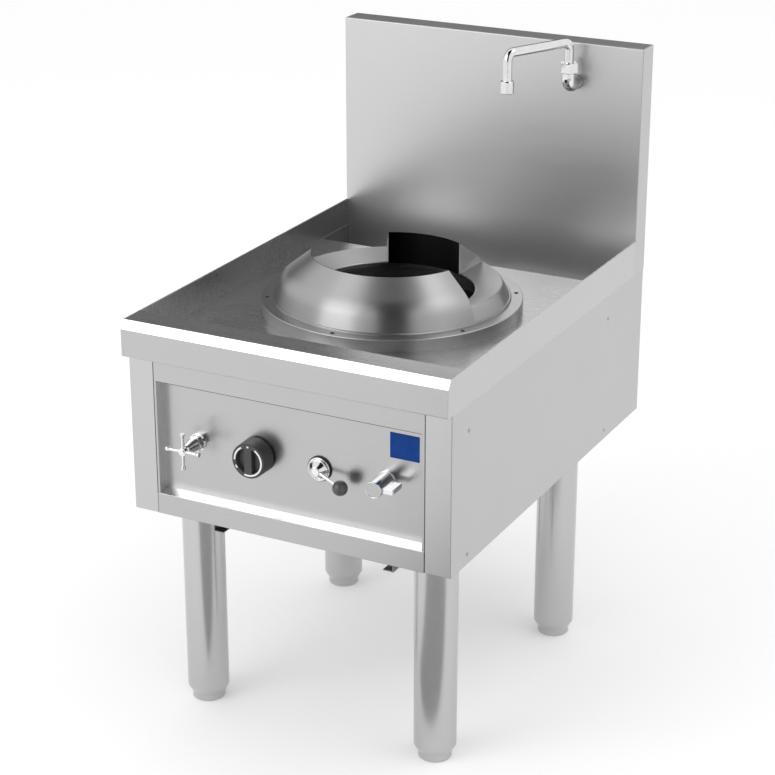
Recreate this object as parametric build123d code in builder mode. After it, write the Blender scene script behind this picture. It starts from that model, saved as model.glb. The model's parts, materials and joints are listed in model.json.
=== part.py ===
from build123d import *

import os
from math import degrees, sqrt

# Free-standing gas wok range with a sunken worktop, a splashback and a swivel spout.
# Millimetres. X runs across the range (right positive), Y from the front to the back, Z up.
# The origin lies on the floor, under the centre of the whole range.

# ---------------------------------------------------------------- driving dimensions
body_width = 650.0            # across the side skirts
body_depth = 880.0            # front face of the body to the back
rim_height = 800.0            # floor to the rim of the worktop
splash_height = 1185.0        # floor to the top of the splashback
body_bottom = 427.0           # floor to the lower edge of the body
control_proud = 35.0          # how far the controls stand out in front of the body
sheet = 1.5                   # sheet steel of the body
seam = 0.2                    # gap between neighbouring sheets
fit_gap = 0.4                 # free gap round loose or passing pieces
running = 0.05                # radial clearance of a turning or sliding shaft

nose_overhang = 20.0          # worktop nose in front of the body
nose_drop = 68.0              # rim to the underside of the nose
chamfer_rise = 16.0
chamfer_run = 10.5
ledge_depth = 44.0            # body front to the basin's front wall
skirt_drop = 71.0             # rim to the lower edge of the side skirts
hem = 3.0                     # folded side rim
basin_drop = 55.0             # rim to the deck of the basin
gutter_drop = 110.0           # rim to the floor of the rear gutter
gutter_width = 115.0
splash_depth = 50.0
bend = 2.0                    # outer radius of the sheet bends

post_width = 52.5             # front posts beside the control panel
return_depth = 15.0           # inward returns of the posts and the valance
flange = 24.0                 # rear and bottom returns of the side panels
skirt_step = 1.0              # side panels sit this far inside the skirts

recess_depth = 22.0           # control panel behind the body front
recess_top = 113.5            # rim to the top of the recess
valance_height = 40.0
ledge_rise = 5.0              # slope of the recess floor
recess_lip = 4.5              # flat strip between the recess and a post

leg_inset = 80.0              # leg centre from the side of the range
front_leg_setback = 106.0     # leg centre from the body front
rear_leg_setback = 223.0      # leg centre from the back
leg_radius = 40.0
leg_wall = 2.0
leg_mouth_radius = 33.5
leg_mouth_height = 15.0
leg_taper_height = 12.0
leg_plate = 5.0
leg_plate_width = 90.0
leg_plate_length = 130.0
leg_plate_corner = 8.0
leg_bolt_x = 22.0
leg_bolt_y = 52.0
foot_radius = 31.5
foot_depth = 26.0
foot_stem_radius = 8.0
foot_stem_length = 90.0
foot_guide_height = 62.0
foot_guide = 12.0
foot_clearance = 0.5
foot_chamfer = 1.5

rail_width = 60.0
rail_height = 40.0
cross_rail_width = 40.0
cross_rail_height = 30.0
rail_wall = 2.0

burner_setback = 408.0        # burner axis from the body front
collar_radius = 247.0
collar_height = 23.0          # deck to the top of the collar
collar_sleeve_radius = 212.0
collar_sleeve_depth = 43.0
collar_sheet = 2.0
collar_screws = 6
collar_screw_circle = 235.0
first_screw = 30.0            # angle of the first collar screw
collar_round = 1.7
deck_hole_gap = 2.0

ring_rim_radius = 224.8
ring_rim_height = 3.8
ring_spigot_depth = 12.0
ring_spigot_radius = 209.2
ring_wall = 4.0
ring_foot_radius = 222.0
ring_top_radius = 152.0
ring_front_top = 86.5         # collar top to the top of the front high sector
ring_back_top = 76.0          # and of the back one, which stands lower
ring_shelf_radius = 158.0     # inner lip of the low sectors
ring_shelf_inner = 14.5       # collar top to the shelf at its inner lip
ring_shoulder_radius = 207.0
ring_shoulder = 30.5          # collar top to the shoulder of the low sectors
ring_shoulder_round = 5.0
ring_lip_radius = 2.6
ring_lip_rise = 0.8           # middle of the lip bead above the shelf's under-surface line
ring_rim_round = 1.6
ring_inner_drop = 2.0         # lower edge of the high sectors' inner wall below the shelf lip
dome_bend_in = 15.5           # foot of the dome to the bend between its wall and its cone
dome_bend_drop = 41.5         # top of the sector down to that bend
dome_round = 60.0
full_turn = 360.0
back_sector = (60.0, 120.0)   # angles of the high sectors round the burner axis
front_sector = (200.0, 340.0)

chamber_radius = 216.0
chamber_wall = 2.0
chamber_depth = 183.5
chamber_flange = 20.0
chamber_mouth = 130.0
lining_bottom_radius = 165.0
lining_top_radius = 190.0
lining_height = 150.0

burner_radius = 100.0
burner_height = 50.0
burner_bottom = 590.0
burner_wall = 7.0
burner_bowl_rise = 20.0       # bottom to the foot of the upright side
burner_bevel_run = 22.0
burner_bevel_rise = 12.0
burner_dish = 8.0
burner_ports = 24
burner_port_radius = 3.0
burner_port_depth = 20.0
mixer_height = 515.0
mixer_radius = 25.0
mixer_bore = 21.0
mixer_bend = 40.0
mixer_length = 178.0
bell_radius = 35.0
bell_length = 20.0
support_width = 40.0
support_thickness = 5.0
injector_length = 24.0        # end of the feed pipe to the mouth of the bell
injector_hex_radius = 11.0
injector_hex_length = 14.0
injector_nose_radius = 7.0
jet_radius = 1.2
shutter_radius = 34.0
shutter_sheet = 2.0
pilot_gap = 13.0              # burner edge to the pilot and thermocouple axes
pilot_offset = 8.0            # knob axis to the pilot line
pilot_tip_rise = 25.0         # bottom of the burner to the start of the tip
pilot_tip_radius = 6.0
pilot_tip_length = 22.0
probe_offset = 12.0           # knob axis to the thermocouple line
probe_tip_rise = 20.0
probe_tip_radius = 4.0
probe_tip_length = 30.0
sensor_drop = 25.0            # both lines pass this far under the chamber
sensor_setback = 60.0         # valve to the drop of the lines

control_height = 575.0
valve_box = 44.0
valve_depth = 40.0
valve_chamfer = 6.0
neck_wall = 5.0
spindle_radius = 4.0
spindle_depth = 17.0          # spindle length inside a valve body
pipe_radius = 8.0
pipe_bend = 20.0
small_pipe_radius = 3.0
small_pipe_bend = 12.0
edge_round = 1.2              # rounded edges of the turned fittings

cross_inset = 72.0            # side of the recess to the cross handle
cross_reach = 52.0            # panel to the centre of the cross handle
cross_span = 69.0
cross_arm_thin = 3.0
cross_arm_thick = 4.5
cross_arm_flare = 8.0         # length of the flared tip
cross_arm_flat = 3.0
cross_hub_radius = 7.5
cross_hub_length = 10.0
cross_cap_radius = 5.0
cross_cap = 1.5
cross_neck_length = 10.0      # valve neck in front of the panel
bonnet_flange_radius = 17.0
bonnet_flange = 2.5
bonnet_radius = 14.5
bonnet_shoulder = 4.0         # panel to the start of the bonnet's body
bonnet_body_radius = 13.5
bonnet_body = 18.0            # panel to the end of the bonnet's body
bonnet_nose_radius = 8.5
bonnet_tip_radius = 7.0
bonnet_tip = 3.0
gland_radius = 16.0
gland_start = 6.0
gland_length = 9.0

knob_x = -70.0
knob_radius = 34.0
knob_reach = 37.0
knob_travel = 3.0
knob_gap = 1.0                # panel to the knob when it is pushed in
knob_socket = 16.0            # spindle length inside the knob
knob_draft = 1.5              # degrees
knob_round = 2.5
knob_dish_radius = 24.5
knob_dish_depth = 9.0
knob_dish_draft = 12.0        # degrees
knob_grip = 15.0

lever_x = 56.0
lever_drop = 2.0              # lever axis below the control line
lever_gasket_radius = 23.5
lever_gasket_thickness = 3.0
lever_base_radius = 22.0
lever_base_thickness = 3.0
lever_cone_radius = 19.5
lever_cone_rim = 2.5
lever_cone_step = 1.0
lever_cone_length = 14.0
lever_cap_radius = 8.5
lever_cap_edge = 1.5
lever_rod_setback = 6.0       # back of the cone to the root of the rod
lever_rod_radius = 3.0
lever_ball_radius = 14.0
lever_ball_across = 56.0      # axis to the ball, along X
lever_ball_down = 15.0
lever_ball_reach = 30.0       # panel to the centre of the ball

tap_inset = 78.0              # side of the recess to the tap
tap_rise = 5.0                # tap axis above the control line
tap_radius = 15.5
tap_reach = 55.0
tap_collar_radius = 17.5
tap_collar_length = 6.0
tap_neck = 5.0                # valve neck in front of the panel
tap_collar_round = 1.5
paddle_round = 2.0
paddle_length = 35.0
paddle_reach = 36.0           # tap axis to the end of the paddle
paddle_thickness = 9.0
paddle_setback = 5.0          # tap front to the front of the paddle

plate_inset = 16.5            # side of the recess to the edge of the plate
plate_drop = 16.75            # top of the recess to the top edge of the plate
plate_width = 56.2
plate_tall = 47.1
plate_thickness = 1.0

spout_inset = 138.0           # riser axis from the side of the range
spout_setback = 40.0          # riser axis in front of the splashback
spout_inlet_drop = 77.0       # top of the splashback to the axis of the inlet
elbow_radius = 14.0
elbow_bend = 18.0
elbow_top = 26.0              # inlet axis to the seat of the nut
nut_across = 37.0             # across the corners
nut_height = 20.0
spout_radius = 9.0
spout_bore = 7.0
spout_rise = 86.0             # inlet axis to the arm axis
spout_arm = 156.0
spout_angle = 244.9           # direction of the arm in plan
spout_bend = 14.0
nozzle_radius = 13.0
nozzle_height = 24.0
nozzle_bottom = 77.0          # arm axis to the mouth of the nozzle
nozzle_socket = 10.0          # end of the tube inside the nozzle

gas_inlet_x = -150.0
gas_inlet_height = 520.0
water_inlet_inset = 60.0      # inlet axis from the side of the range
feed_inset = 60.0             # riser to the spout from the side of the range
link_rise = 43.0              # top of the stop valve to the axis of the link pipe
socket_radius = 15.0
socket_length = 22.0
thread_radius = 9.3
thread_length = 15.0
socket_overlap = 2.0          # end of the pipe inside the socket

drain_hole_radius = 20.0
drain_radius = 19.5
drain_wall = 2.0
drain_bottom = 395.0
drain_spigot = 40.0           # length that takes a hose, below the hose stop
hose_stop = 3.0
hose_stop_radius = 23.0
drain_flange = 3.0
strainer_radius = 28.0
strainer_thickness = 2.0
strainer_inner_ring = 6.0      # radius of each ring of holes
strainer_inner_holes = 6
strainer_outer_ring = 12.0
strainer_outer_holes = 12
strainer_hole = 1.8

runner_inset = 58.0           # leg centre to the outer face of a tray runner
runner_foot = 21.0
runner_bottom = 386.0
runner_sheet = 2.0
runner_setback = 50.0
runner_length = 550.0
runner_web = 40.0
hanger_overlap = 20.0         # hanger flange under the rail
hanger_gap = 5.0              # leg plate to the end of a hanger
tray_setback = 87.0
tray_length = 505.0
tray_height = 30.0
tray_sheet = 1.2
tray_corner = 6.0
tray_gap = 1.0                # tray to a runner, each side

screw_head_radius = 4.0
screw_head = 1.2
screw_head_round = 0.8
screw_radius = 2.5
screw_reach = 4.0             # screw below the deck
side_screw_head_radius = 4.0
side_screw_radius = 2.0
side_screw_length = 6.0
side_screw_inset_front = 67.0
side_screw_inset_back = 180.0
side_screw_low = 18.0         # above the lower edge of the body
side_screw_high = 49.0        # below the lower edge of the skirt
bolt_head_radius = 7.0
bolt_head = 5.0
bolt_radius = 4.0
bolt_length = 14.0

# ---------------------------------------------------------------- places worked out from them
half = body_width / 2
inner = half - hem
front = -(body_depth - control_proud) / 2
back = front + body_depth
nose = front - nose_overhang
nose_under = rim_height - nose_drop
skirt_bottom = rim_height - skirt_drop
deck_top = rim_height - basin_drop
gutter_floor = rim_height - gutter_drop
basin_front = front + ledge_depth
splash_face = back - splash_depth
gutter_front = splash_face - gutter_width
panel_out = half - skirt_step
panel_in = panel_out - sheet
opening_half = half - post_width - seam
recess_half = half - post_width - recess_lip
panel_face = front + recess_depth
panel_rear = panel_face + sheet
recess_ceiling = rim_height - recess_top
valance_top = body_bottom + valance_height
rear_inside = back - 2 * sheet
neck_radius = spindle_radius + neck_wall
cross_x = cross_inset - recess_half
tap_x = recess_half - tap_inset
plate_x = recess_half - plate_inset - plate_width / 2
plate_height = recess_ceiling - plate_drop - plate_tall / 2
spout_x = half - spout_inset
spout_inlet_height = splash_height - spout_inlet_drop

leg_x = half - leg_inset
leg_front_y = front + front_leg_setback
leg_rear_y = back - rear_leg_setback
leg_places = [
    ("front_left", -leg_x, leg_front_y),
    ("front_right", leg_x, leg_front_y),
    ("rear_left", -leg_x, leg_rear_y),
    ("rear_right", leg_x, leg_rear_y),
]
rail_bottom = body_bottom + leg_plate
rail_top = rail_bottom + rail_height
runner_x = leg_x - runner_inset

burner_y = front + burner_setback
collar_top = deck_top + collar_height
deck_hole_radius = collar_sleeve_radius + deck_hole_gap
chamber_top = deck_top - sheet
chamber_bottom = chamber_top - chamber_depth
pilot_circle = burner_radius + pilot_gap

lever_height = control_height - lever_drop
tap_height = control_height + tap_rise
link_height = control_height + valve_box / 2 + link_rise
water_inlet_x = water_inlet_inset - half
feed_x = half - feed_inset
valve_middle = panel_rear + valve_depth / 2
drain_y = splash_face - gutter_width / 2
feed_y = splash_face + splash_depth / 2
spout_y = splash_face - spout_setback
nut_seat = spout_inlet_height + elbow_top

pieces = []


def finish(part, name):
    """Name a finished piece and add it to the range."""
    part.label = name
    pieces.append(part)


def facing_front(x, y, z):
    """Plane on the front side of the range, looking out towards the cook."""
    return Plane(origin=(x, y, z), x_dir=(1, 0, 0), z_dir=(0, -1, 0))


def axial(base):
    """Sketch plane through the axis of `base`: radius across, distance along the axis up."""
    return Plane(origin=base.origin, x_dir=base.x_dir, z_dir=base.x_dir.cross(base.z_dir))


def turned(base, profile):
    """A turned piece: a closed (radius, distance) outline spun about the axis of `base`."""
    with BuildPart() as piece:
        with BuildSketch(axial(base)):
            with BuildLine():
                Polyline(*profile, close=True)
            make_face()
        revolve(axis=Axis(base.origin, base.z_dir))
    return piece.part


def bent_tube(route, radius, corner, bore=0.0):
    """A round tube along straight runs with rounded corners."""
    with BuildPart() as piece:
        with BuildLine() as path:
            FilletPolyline(*route, radius=corner)
        start = Plane(origin=path.line @ 0, z_dir=path.line % 0)
        with BuildSketch(start):
            Circle(radius)
        sweep(path=path.line)
        if bore:
            with BuildSketch(start):
                Circle(bore)
            sweep(path=path.line, mode=Mode.SUBTRACT)
    return piece.part


def edges_along_x(part, y, z):
    """Edges parallel to X that lie at the given place of the side view."""
    near = lambda edge: abs(edge.center().Y - y) < 0.01 and abs(edge.center().Z - z) < 0.01
    return part.edges().filter_by(Axis.X).filter_by(near)


# ---------------------------------------------------------------- worktop
with BuildPart() as worktop_deck:
    with BuildSketch(Plane.YZ):
        with BuildLine():
            Polyline(
                (front, nose_under),
                (nose, nose_under),
                (nose, rim_height - chamfer_rise),
                (nose + chamfer_run, rim_height),
                (basin_front, rim_height),
                (basin_front, deck_top),
                (gutter_front, deck_top),
                (gutter_front, gutter_floor),
                (splash_face + sheet, gutter_floor),
            )
            offset(amount=sheet, kind=Kind.INTERSECTION, side=Side.RIGHT)
        make_face()
    extrude(amount=inner, both=True)
    with BuildSketch(Plane.YZ.offset(inner), Plane.YZ.offset(-half)):
        with BuildLine():
            Polyline(
                (nose, nose_under),
                (nose, rim_height - chamfer_rise),
                (nose + chamfer_run, rim_height),
                (splash_face, rim_height),
                (splash_face, skirt_bottom),
                (front, skirt_bottom),
                (front, nose_under),
                close=True,
            )
        make_face()
    extrude(amount=hem)
    with BuildSketch(Plane.YZ.offset(inner - sheet), Plane.YZ.offset(-inner)):
        with BuildLine():
            Polyline(
                (gutter_front - sheet, deck_top),
                (splash_face, deck_top),
                (splash_face, gutter_floor - sheet),
                (gutter_front - sheet, gutter_floor - sheet),
                close=True,
            )
        make_face()
    extrude(amount=sheet)
    rounded = [
        (nose, nose_under),
        (nose, rim_height - chamfer_rise),
        (nose + chamfer_run, rim_height),
        (basin_front, rim_height),
        (basin_front, deck_top),
        (gutter_front, deck_top),
    ]
    for y, z in rounded:
        fillet(edges_along_x(worktop_deck, y, z), radius=bend)
    with Locations((0, burner_y, deck_top)):
        Cylinder(deck_hole_radius, 4 * sheet, mode=Mode.SUBTRACT)
        with PolarLocations(collar_screw_circle, collar_screws, start_angle=first_screw):
            Cylinder(screw_radius + fit_gap, 4 * sheet, mode=Mode.SUBTRACT)
    with Locations((0, drain_y, gutter_floor)):
        Cylinder(drain_hole_radius, 4 * sheet, mode=Mode.SUBTRACT)
finish(worktop_deck.part, "worktop_deck")

with BuildPart() as splashback:
    with BuildSketch(Plane.XY.offset(skirt_bottom)):
        with Locations((0, back - splash_depth / 2)):
            Rectangle(body_width, splash_depth)
    extrude(amount=splash_height - skirt_bottom)
    corner_edges = splashback.edges().filter_by(Axis.Z).group_by(Axis.Y)[0]
    top_edges = splashback.faces().sort_by(Axis.Z)[-1].edges().sort_by(Axis.Y)[0:3]
    fillet(corner_edges + top_edges, radius=bend)
    open_faces = [splashback.faces().sort_by(Axis.Z)[0], splashback.faces().sort_by(Axis.Y)[-1]]
    offset(amount=-sheet, openings=open_faces)
    tongue_width = 2 * (inner - sheet - fit_gap)
    with BuildSketch(Plane.XY.offset(gutter_floor)):
        with Locations((0, splash_face + sheet / 2)):
            Rectangle(tongue_width, sheet)
    extrude(amount=skirt_bottom - gutter_floor)
    with BuildSketch(facing_front(spout_x, splash_face, spout_inlet_height)):
        Circle(elbow_radius + fit_gap)
    extrude(amount=2 * sheet, both=True, mode=Mode.SUBTRACT)
finish(splashback.part, "splashback")

with BuildPart() as splashback_cover:
    with BuildSketch(facing_front(0, back - sheet, 0)):
        with Locations((0, (skirt_bottom + splash_height - sheet) / 2)):
            Rectangle(body_width - 2 * sheet - 2 * seam, splash_height - skirt_bottom - sheet - 2 * seam)
    extrude(amount=-sheet)
finish(splashback_cover.part, "splashback_cover")

# ---------------------------------------------------------------- body panels
with BuildPart() as right_side_panel:
    with BuildSketch(Plane.XY.offset(body_bottom)):
        with BuildLine():
            Polyline(
                (half - post_width, front + return_depth),
                (half - post_width, front),
                (panel_out, front),
                (panel_out, back),
                (panel_out - flange, back),
            )
            offset(amount=sheet, kind=Kind.INTERSECTION, side=Side.LEFT)
        make_face()
    extrude(amount=skirt_bottom - body_bottom)
    corner = right_side_panel.edges().filter_by(Axis.Z).group_by(Axis.Y)[0].sort_by(Axis.X)[-1]
    fillet(corner, radius=bend)
    with BuildSketch(Plane.XY.offset(skirt_bottom)):
        with Locations(((half - post_width + inner - seam) / 2, front + sheet / 2)):
            Rectangle(inner - seam - (half - post_width), sheet)
    extrude(amount=nose_under - skirt_bottom)
    with BuildSketch(Plane.XY.offset(body_bottom)):
        with Locations((panel_in - flange / 2, (front + back) / 2)):
            Rectangle(flange, body_depth - 2 * sheet)
    extrude(amount=sheet)
    for screw_y in (front + side_screw_inset_front, back - side_screw_inset_back):
        for screw_z in (body_bottom + side_screw_low, skirt_bottom - side_screw_high):
            with BuildSketch(Plane.YZ.offset(panel_out)):
                with Locations((screw_y, screw_z)):
                    Circle(side_screw_radius + fit_gap)
            extrude(amount=2 * sheet, both=True, mode=Mode.SUBTRACT)
finish(right_side_panel.part, "right_side_panel")

with BuildPart() as left_side_panel:
    add(right_side_panel.part)
    mirror(about=Plane.YZ, mode=Mode.REPLACE)
finish(left_side_panel.part, "left_side_panel")

with BuildPart() as control_panel:
    with BuildSketch(Plane.XY.offset(valance_top + seam)):
        with BuildLine():
            Polyline(
                (-opening_half, front),
                (-recess_half, front),
                (-recess_half, panel_face),
                (recess_half, panel_face),
                (recess_half, front),
                (opening_half, front),
            )
            offset(amount=sheet, kind=Kind.INTERSECTION, side=Side.LEFT)
        make_face()
    extrude(amount=recess_ceiling - valance_top - seam)
    with BuildSketch(Plane.XY.offset(recess_ceiling)):
        with Locations((0, (front + panel_rear) / 2)):
            Rectangle(2 * (recess_half + sheet), recess_depth + sheet)
    extrude(amount=sheet)
    with BuildSketch(Plane.XY.offset(recess_ceiling)):
        with Locations((0, front + sheet / 2)):
            Rectangle(2 * opening_half, sheet)
    extrude(amount=nose_under - recess_ceiling)
    control_holes = [
        (cross_x, control_height, neck_radius + fit_gap),
        (knob_x, control_height, spindle_radius + fit_gap),
        (lever_x, lever_height, neck_radius + fit_gap),
        (tap_x, tap_height, neck_radius + fit_gap),
    ]
    for x, z, radius in control_holes:
        with BuildSketch(facing_front(x, panel_face, z)):
            Circle(radius)
        extrude(amount=2 * sheet, both=True, mode=Mode.SUBTRACT)
finish(control_panel.part, "control_panel")

with BuildPart() as front_valance:
    valance_face = front - skirt_step
    ledge_top = valance_top + ledge_rise
    with BuildSketch(Plane.YZ):
        with BuildLine():
            Polyline(
                (front + return_depth, body_bottom),
                (valance_face, body_bottom),
                (valance_face, valance_top),
            )
            offset(amount=sheet, kind=Kind.INTERSECTION, side=Side.RIGHT)
        make_face()
    extrude(amount=opening_half, both=True)
    with BuildSketch(Plane.YZ):
        with BuildLine():
            Polyline(
                (valance_face, valance_top - sheet),
                (valance_face, valance_top),
                (panel_face, ledge_top),
                (panel_face, valance_top - return_depth),
                (panel_face - sheet, valance_top - return_depth),
                (panel_face - sheet, ledge_top - 2 * sheet),
                (valance_face + sheet, valance_top - sheet),
                close=True,
            )
        make_face()
    extrude(amount=recess_half - seam, both=True)
finish(front_valance.part, "front_valance")

with BuildPart() as rear_panel:
    with BuildSketch(facing_front(0, back - sheet, 0)):
        with Locations((0, (body_bottom + sheet + skirt_bottom) / 2)):
            Rectangle(2 * (panel_in - seam), skirt_bottom - body_bottom - sheet - 2 * seam)
        with Locations((gas_inlet_x, gas_inlet_height), (water_inlet_x, control_height)):
            Circle(socket_radius + fit_gap, mode=Mode.SUBTRACT)
    extrude(amount=sheet)
finish(rear_panel.part, "rear_panel")

# ---------------------------------------------------------------- frame, legs and feet
with BuildPart() as side_rails:
    with BuildSketch(facing_front(0, panel_rear, 0)):
        with Locations((-leg_x, rail_bottom + rail_height / 2), (leg_x, rail_bottom + rail_height / 2)):
            Rectangle(rail_width, rail_height)
            Rectangle(rail_width - 2 * rail_wall, rail_height - 2 * rail_wall, mode=Mode.SUBTRACT)
    extrude(amount=-(rear_inside - panel_rear))
    for _, x, y in leg_places:
        with Locations((x, y, rail_bottom)):
            with GridLocations(2 * leg_bolt_x, 2 * leg_bolt_y, 2, 2):
                Cylinder(bolt_radius + fit_gap, 3 * rail_wall, mode=Mode.SUBTRACT)
finish(side_rails.part, "side_rails")

with BuildPart() as cross_rails:
    for y in (leg_front_y, leg_rear_y):
        with BuildSketch(Plane.YZ.offset(-panel_in)):
            with Locations((y, rail_top + cross_rail_height / 2)):
                Rectangle(cross_rail_width, cross_rail_height)
                inside = (cross_rail_width - 2 * rail_wall, cross_rail_height - 2 * rail_wall)
                Rectangle(*inside, mode=Mode.SUBTRACT)
        extrude(amount=2 * panel_in)
finish(cross_rails.part, "cross_rails")

for place, x, y in leg_places:
    floor_below = Plane(origin=(x, y, 0))
    taper_top = leg_mouth_height + leg_taper_height
    mouth_inner = foot_radius + foot_clearance
    guide_top = foot_guide_height + foot_guide
    stem_bore = foot_stem_radius + running
    with BuildPart() as leg:
        with BuildSketch(axial(floor_below)):
            with BuildLine():
                Polyline(
                    (mouth_inner, leg_mouth_height),
                    (leg_mouth_radius, leg_mouth_height),
                    (leg_radius, taper_top),
                    (leg_radius, body_bottom),
                    (leg_radius - leg_wall, body_bottom),
                    (leg_radius - leg_wall, guide_top),
                    (stem_bore, guide_top),
                    (stem_bore, foot_guide_height),
                    (leg_radius - leg_wall, foot_guide_height),
                    (leg_radius - leg_wall, taper_top),
                    close=True,
                )
            make_face()
        revolve(axis=Axis(floor_below.origin, (0, 0, 1)))
        with BuildSketch(Plane(origin=(x, y, body_bottom))):
            RectangleRounded(leg_plate_width, leg_plate_length, leg_plate_corner)
            with GridLocations(2 * leg_bolt_x, 2 * leg_bolt_y, 2, 2):
                Circle(bolt_radius + fit_gap, mode=Mode.SUBTRACT)
        extrude(amount=leg_plate)
    finish(leg.part, f"leg_{place}")

    with BuildPart() as foot:
        with BuildSketch(floor_below):
            Circle(foot_radius)
        extrude(amount=foot_depth)
        chamfer(foot.edges().filter_by(GeomType.CIRCLE), length=foot_chamfer)
        with BuildSketch(floor_below.offset(foot_depth)):
            Circle(foot_stem_radius)
        extrude(amount=foot_stem_length - foot_depth)
    finish(foot.part, f"foot_{place}")

with BuildPart() as leg_bolts:
    for _, x, y in leg_places:
        with BuildSketch(Plane(origin=(x, y, body_bottom))):
            with GridLocations(2 * leg_bolt_x, 2 * leg_bolt_y, 2, 2):
                RegularPolygon(bolt_head_radius, 6)
        extrude(amount=-bolt_head)
        with BuildSketch(Plane(origin=(x, y, body_bottom))):
            with GridLocations(2 * leg_bolt_x, 2 * leg_bolt_y, 2, 2):
                Circle(bolt_radius)
        extrude(amount=bolt_length)
finish(leg_bolts.part, "leg_bolts")

with BuildPart() as side_panel_screws:
    for side in (-1, 1):
        outward = Plane(origin=(side * panel_out, 0, 0), x_dir=(0, 1, 0), z_dir=(side, 0, 0))
        rows = [
            (screw_y, side * screw_z)
            for screw_y in (front + side_screw_inset_front, back - side_screw_inset_back)
            for screw_z in (body_bottom + side_screw_low, skirt_bottom - side_screw_high)
        ]
        with BuildSketch(outward):
            with Locations(*rows):
                Circle(side_screw_head_radius)
        extrude(amount=skirt_step)
        with BuildSketch(outward):
            with Locations(*rows):
                Circle(side_screw_radius)
        extrude(amount=-side_screw_length)
finish(side_panel_screws.part, "side_panel_screws")

# ---------------------------------------------------------------- wok ring and its collar
burner_axis = Axis((0, burner_y, 0), (0, 0, 1))

collar = turned(
    Plane(origin=(0, burner_y, 0)),
    [
        (collar_radius, deck_top),
        (collar_radius, collar_top),
        (collar_sleeve_radius - collar_sheet, collar_top),
        (collar_sleeve_radius - collar_sheet, collar_top - collar_sleeve_depth),
        (collar_sleeve_radius, collar_top - collar_sleeve_depth),
        (collar_sleeve_radius, collar_top - collar_sheet),
        (collar_radius - collar_sheet, collar_top - collar_sheet),
        (collar_radius - collar_sheet, deck_top),
    ],
)
with BuildPart() as ring_collar:
    add(collar)
    rim_edges = ring_collar.edges().filter_by(GeomType.CIRCLE).group_by(Axis.Z)[-1]
    fillet(rim_edges.sort_by(SortBy.RADIUS)[-1], radius=collar_round)
    with Locations((0, burner_y, collar_top)):
        with PolarLocations(collar_screw_circle, collar_screws, start_angle=first_screw):
            Cylinder(screw_radius + fit_gap, 3 * collar_sheet, mode=Mode.SUBTRACT)
finish(ring_collar.part, "ring_collar")

with BuildPart() as collar_screw_set:
    with BuildSketch(Plane(origin=(0, burner_y, collar_top))):
        with PolarLocations(collar_screw_circle, collar_screws, start_angle=first_screw):
            Circle(screw_head_radius)
    extrude(amount=screw_head)
    head_edges = collar_screw_set.edges().filter_by(GeomType.CIRCLE).group_by(Axis.Z)[-1]
    fillet(head_edges, radius=screw_head_round)
    with BuildSketch(Plane(origin=(0, burner_y, collar_top))):
        with PolarLocations(collar_screw_circle, collar_screws, start_angle=first_screw):
            Circle(screw_radius)
    extrude(amount=-collar_height - screw_reach)
finish(collar_screw_set.part, "collar_screws")


def radial(angle):
    """Upright plane through the burner axis: radius across, height above the collar up."""
    across = Vector(1, 0, 0).rotate(Axis.Z, angle)
    return Plane(origin=(0, burner_y, collar_top), x_dir=across, z_dir=across.cross(Vector(0, 0, 1)))


def draw_dome(top):
    """Draw a high sector's outline from the foot over the dome and down its inner wall."""
    bend = (ring_foot_radius - dome_bend_in, top - dome_bend_drop)
    FilletPolyline(dome_foot, bend, (ring_top_radius, top), radius=dome_round)
    Line((ring_top_radius, top), dome_inside)


dome_foot = (ring_foot_radius, ring_rim_height / 2)
dome_inside = (ring_top_radius, ring_shelf_inner - ring_inner_drop)
high_sectors = [(*back_sector, ring_back_top), (*front_sector, ring_front_top)]
low_sectors = [(front_sector[1] - full_turn, back_sector[0]), (back_sector[1], front_sector[0])]
end_wall = degrees(ring_wall / ring_foot_radius)
lap = end_wall / 2

with BuildPart() as wok_ring:
    with BuildSketch(radial(0)):
        with BuildLine():
            Polyline(
                (ring_spigot_radius, -ring_spigot_depth),
                (ring_spigot_radius, 0),
                (ring_rim_radius, 0),
                (ring_rim_radius, ring_rim_height),
                (ring_spigot_radius - ring_wall, ring_rim_height),
                (ring_spigot_radius - ring_wall, -ring_spigot_depth),
                close=True,
            )
        make_face()
    revolve(axis=burner_axis)
    rim_edge = wok_ring.edges().filter_by(GeomType.CIRCLE).group_by(Axis.Z)[-1].sort_by(SortBy.RADIUS)[-1]
    fillet(rim_edge, radius=ring_rim_round)
    for start, end in low_sectors:
        with BuildSketch(radial(start - lap)):
            with BuildLine():
                FilletPolyline(
                    dome_foot,
                    (ring_shoulder_radius, ring_shoulder),
                    (ring_shelf_radius, ring_shelf_inner),
                    radius=ring_shoulder_round,
                )
                offset(amount=ring_wall, kind=Kind.INTERSECTION, side=Side.LEFT)
            make_face()
            with Locations((ring_shelf_radius, ring_shelf_inner - ring_lip_radius + ring_lip_rise)):
                Circle(ring_lip_radius)
        revolve(axis=burner_axis, revolution_arc=end - start + 2 * lap)
    for start, end, top in high_sectors:
        with BuildSketch(radial(start)):
            with BuildLine():
                draw_dome(top)
                offset(amount=ring_wall, kind=Kind.INTERSECTION, side=Side.LEFT)
            make_face()
        revolve(axis=burner_axis, revolution_arc=end - start)
        for angle in (start, end - end_wall):
            with BuildSketch(radial(angle)):
                with BuildLine():
                    draw_dome(top)
                    Line(dome_inside, dome_foot)
                make_face()
            revolve(axis=burner_axis, revolution_arc=end_wall)
finish(wok_ring.part, "wok_ring")

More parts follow.
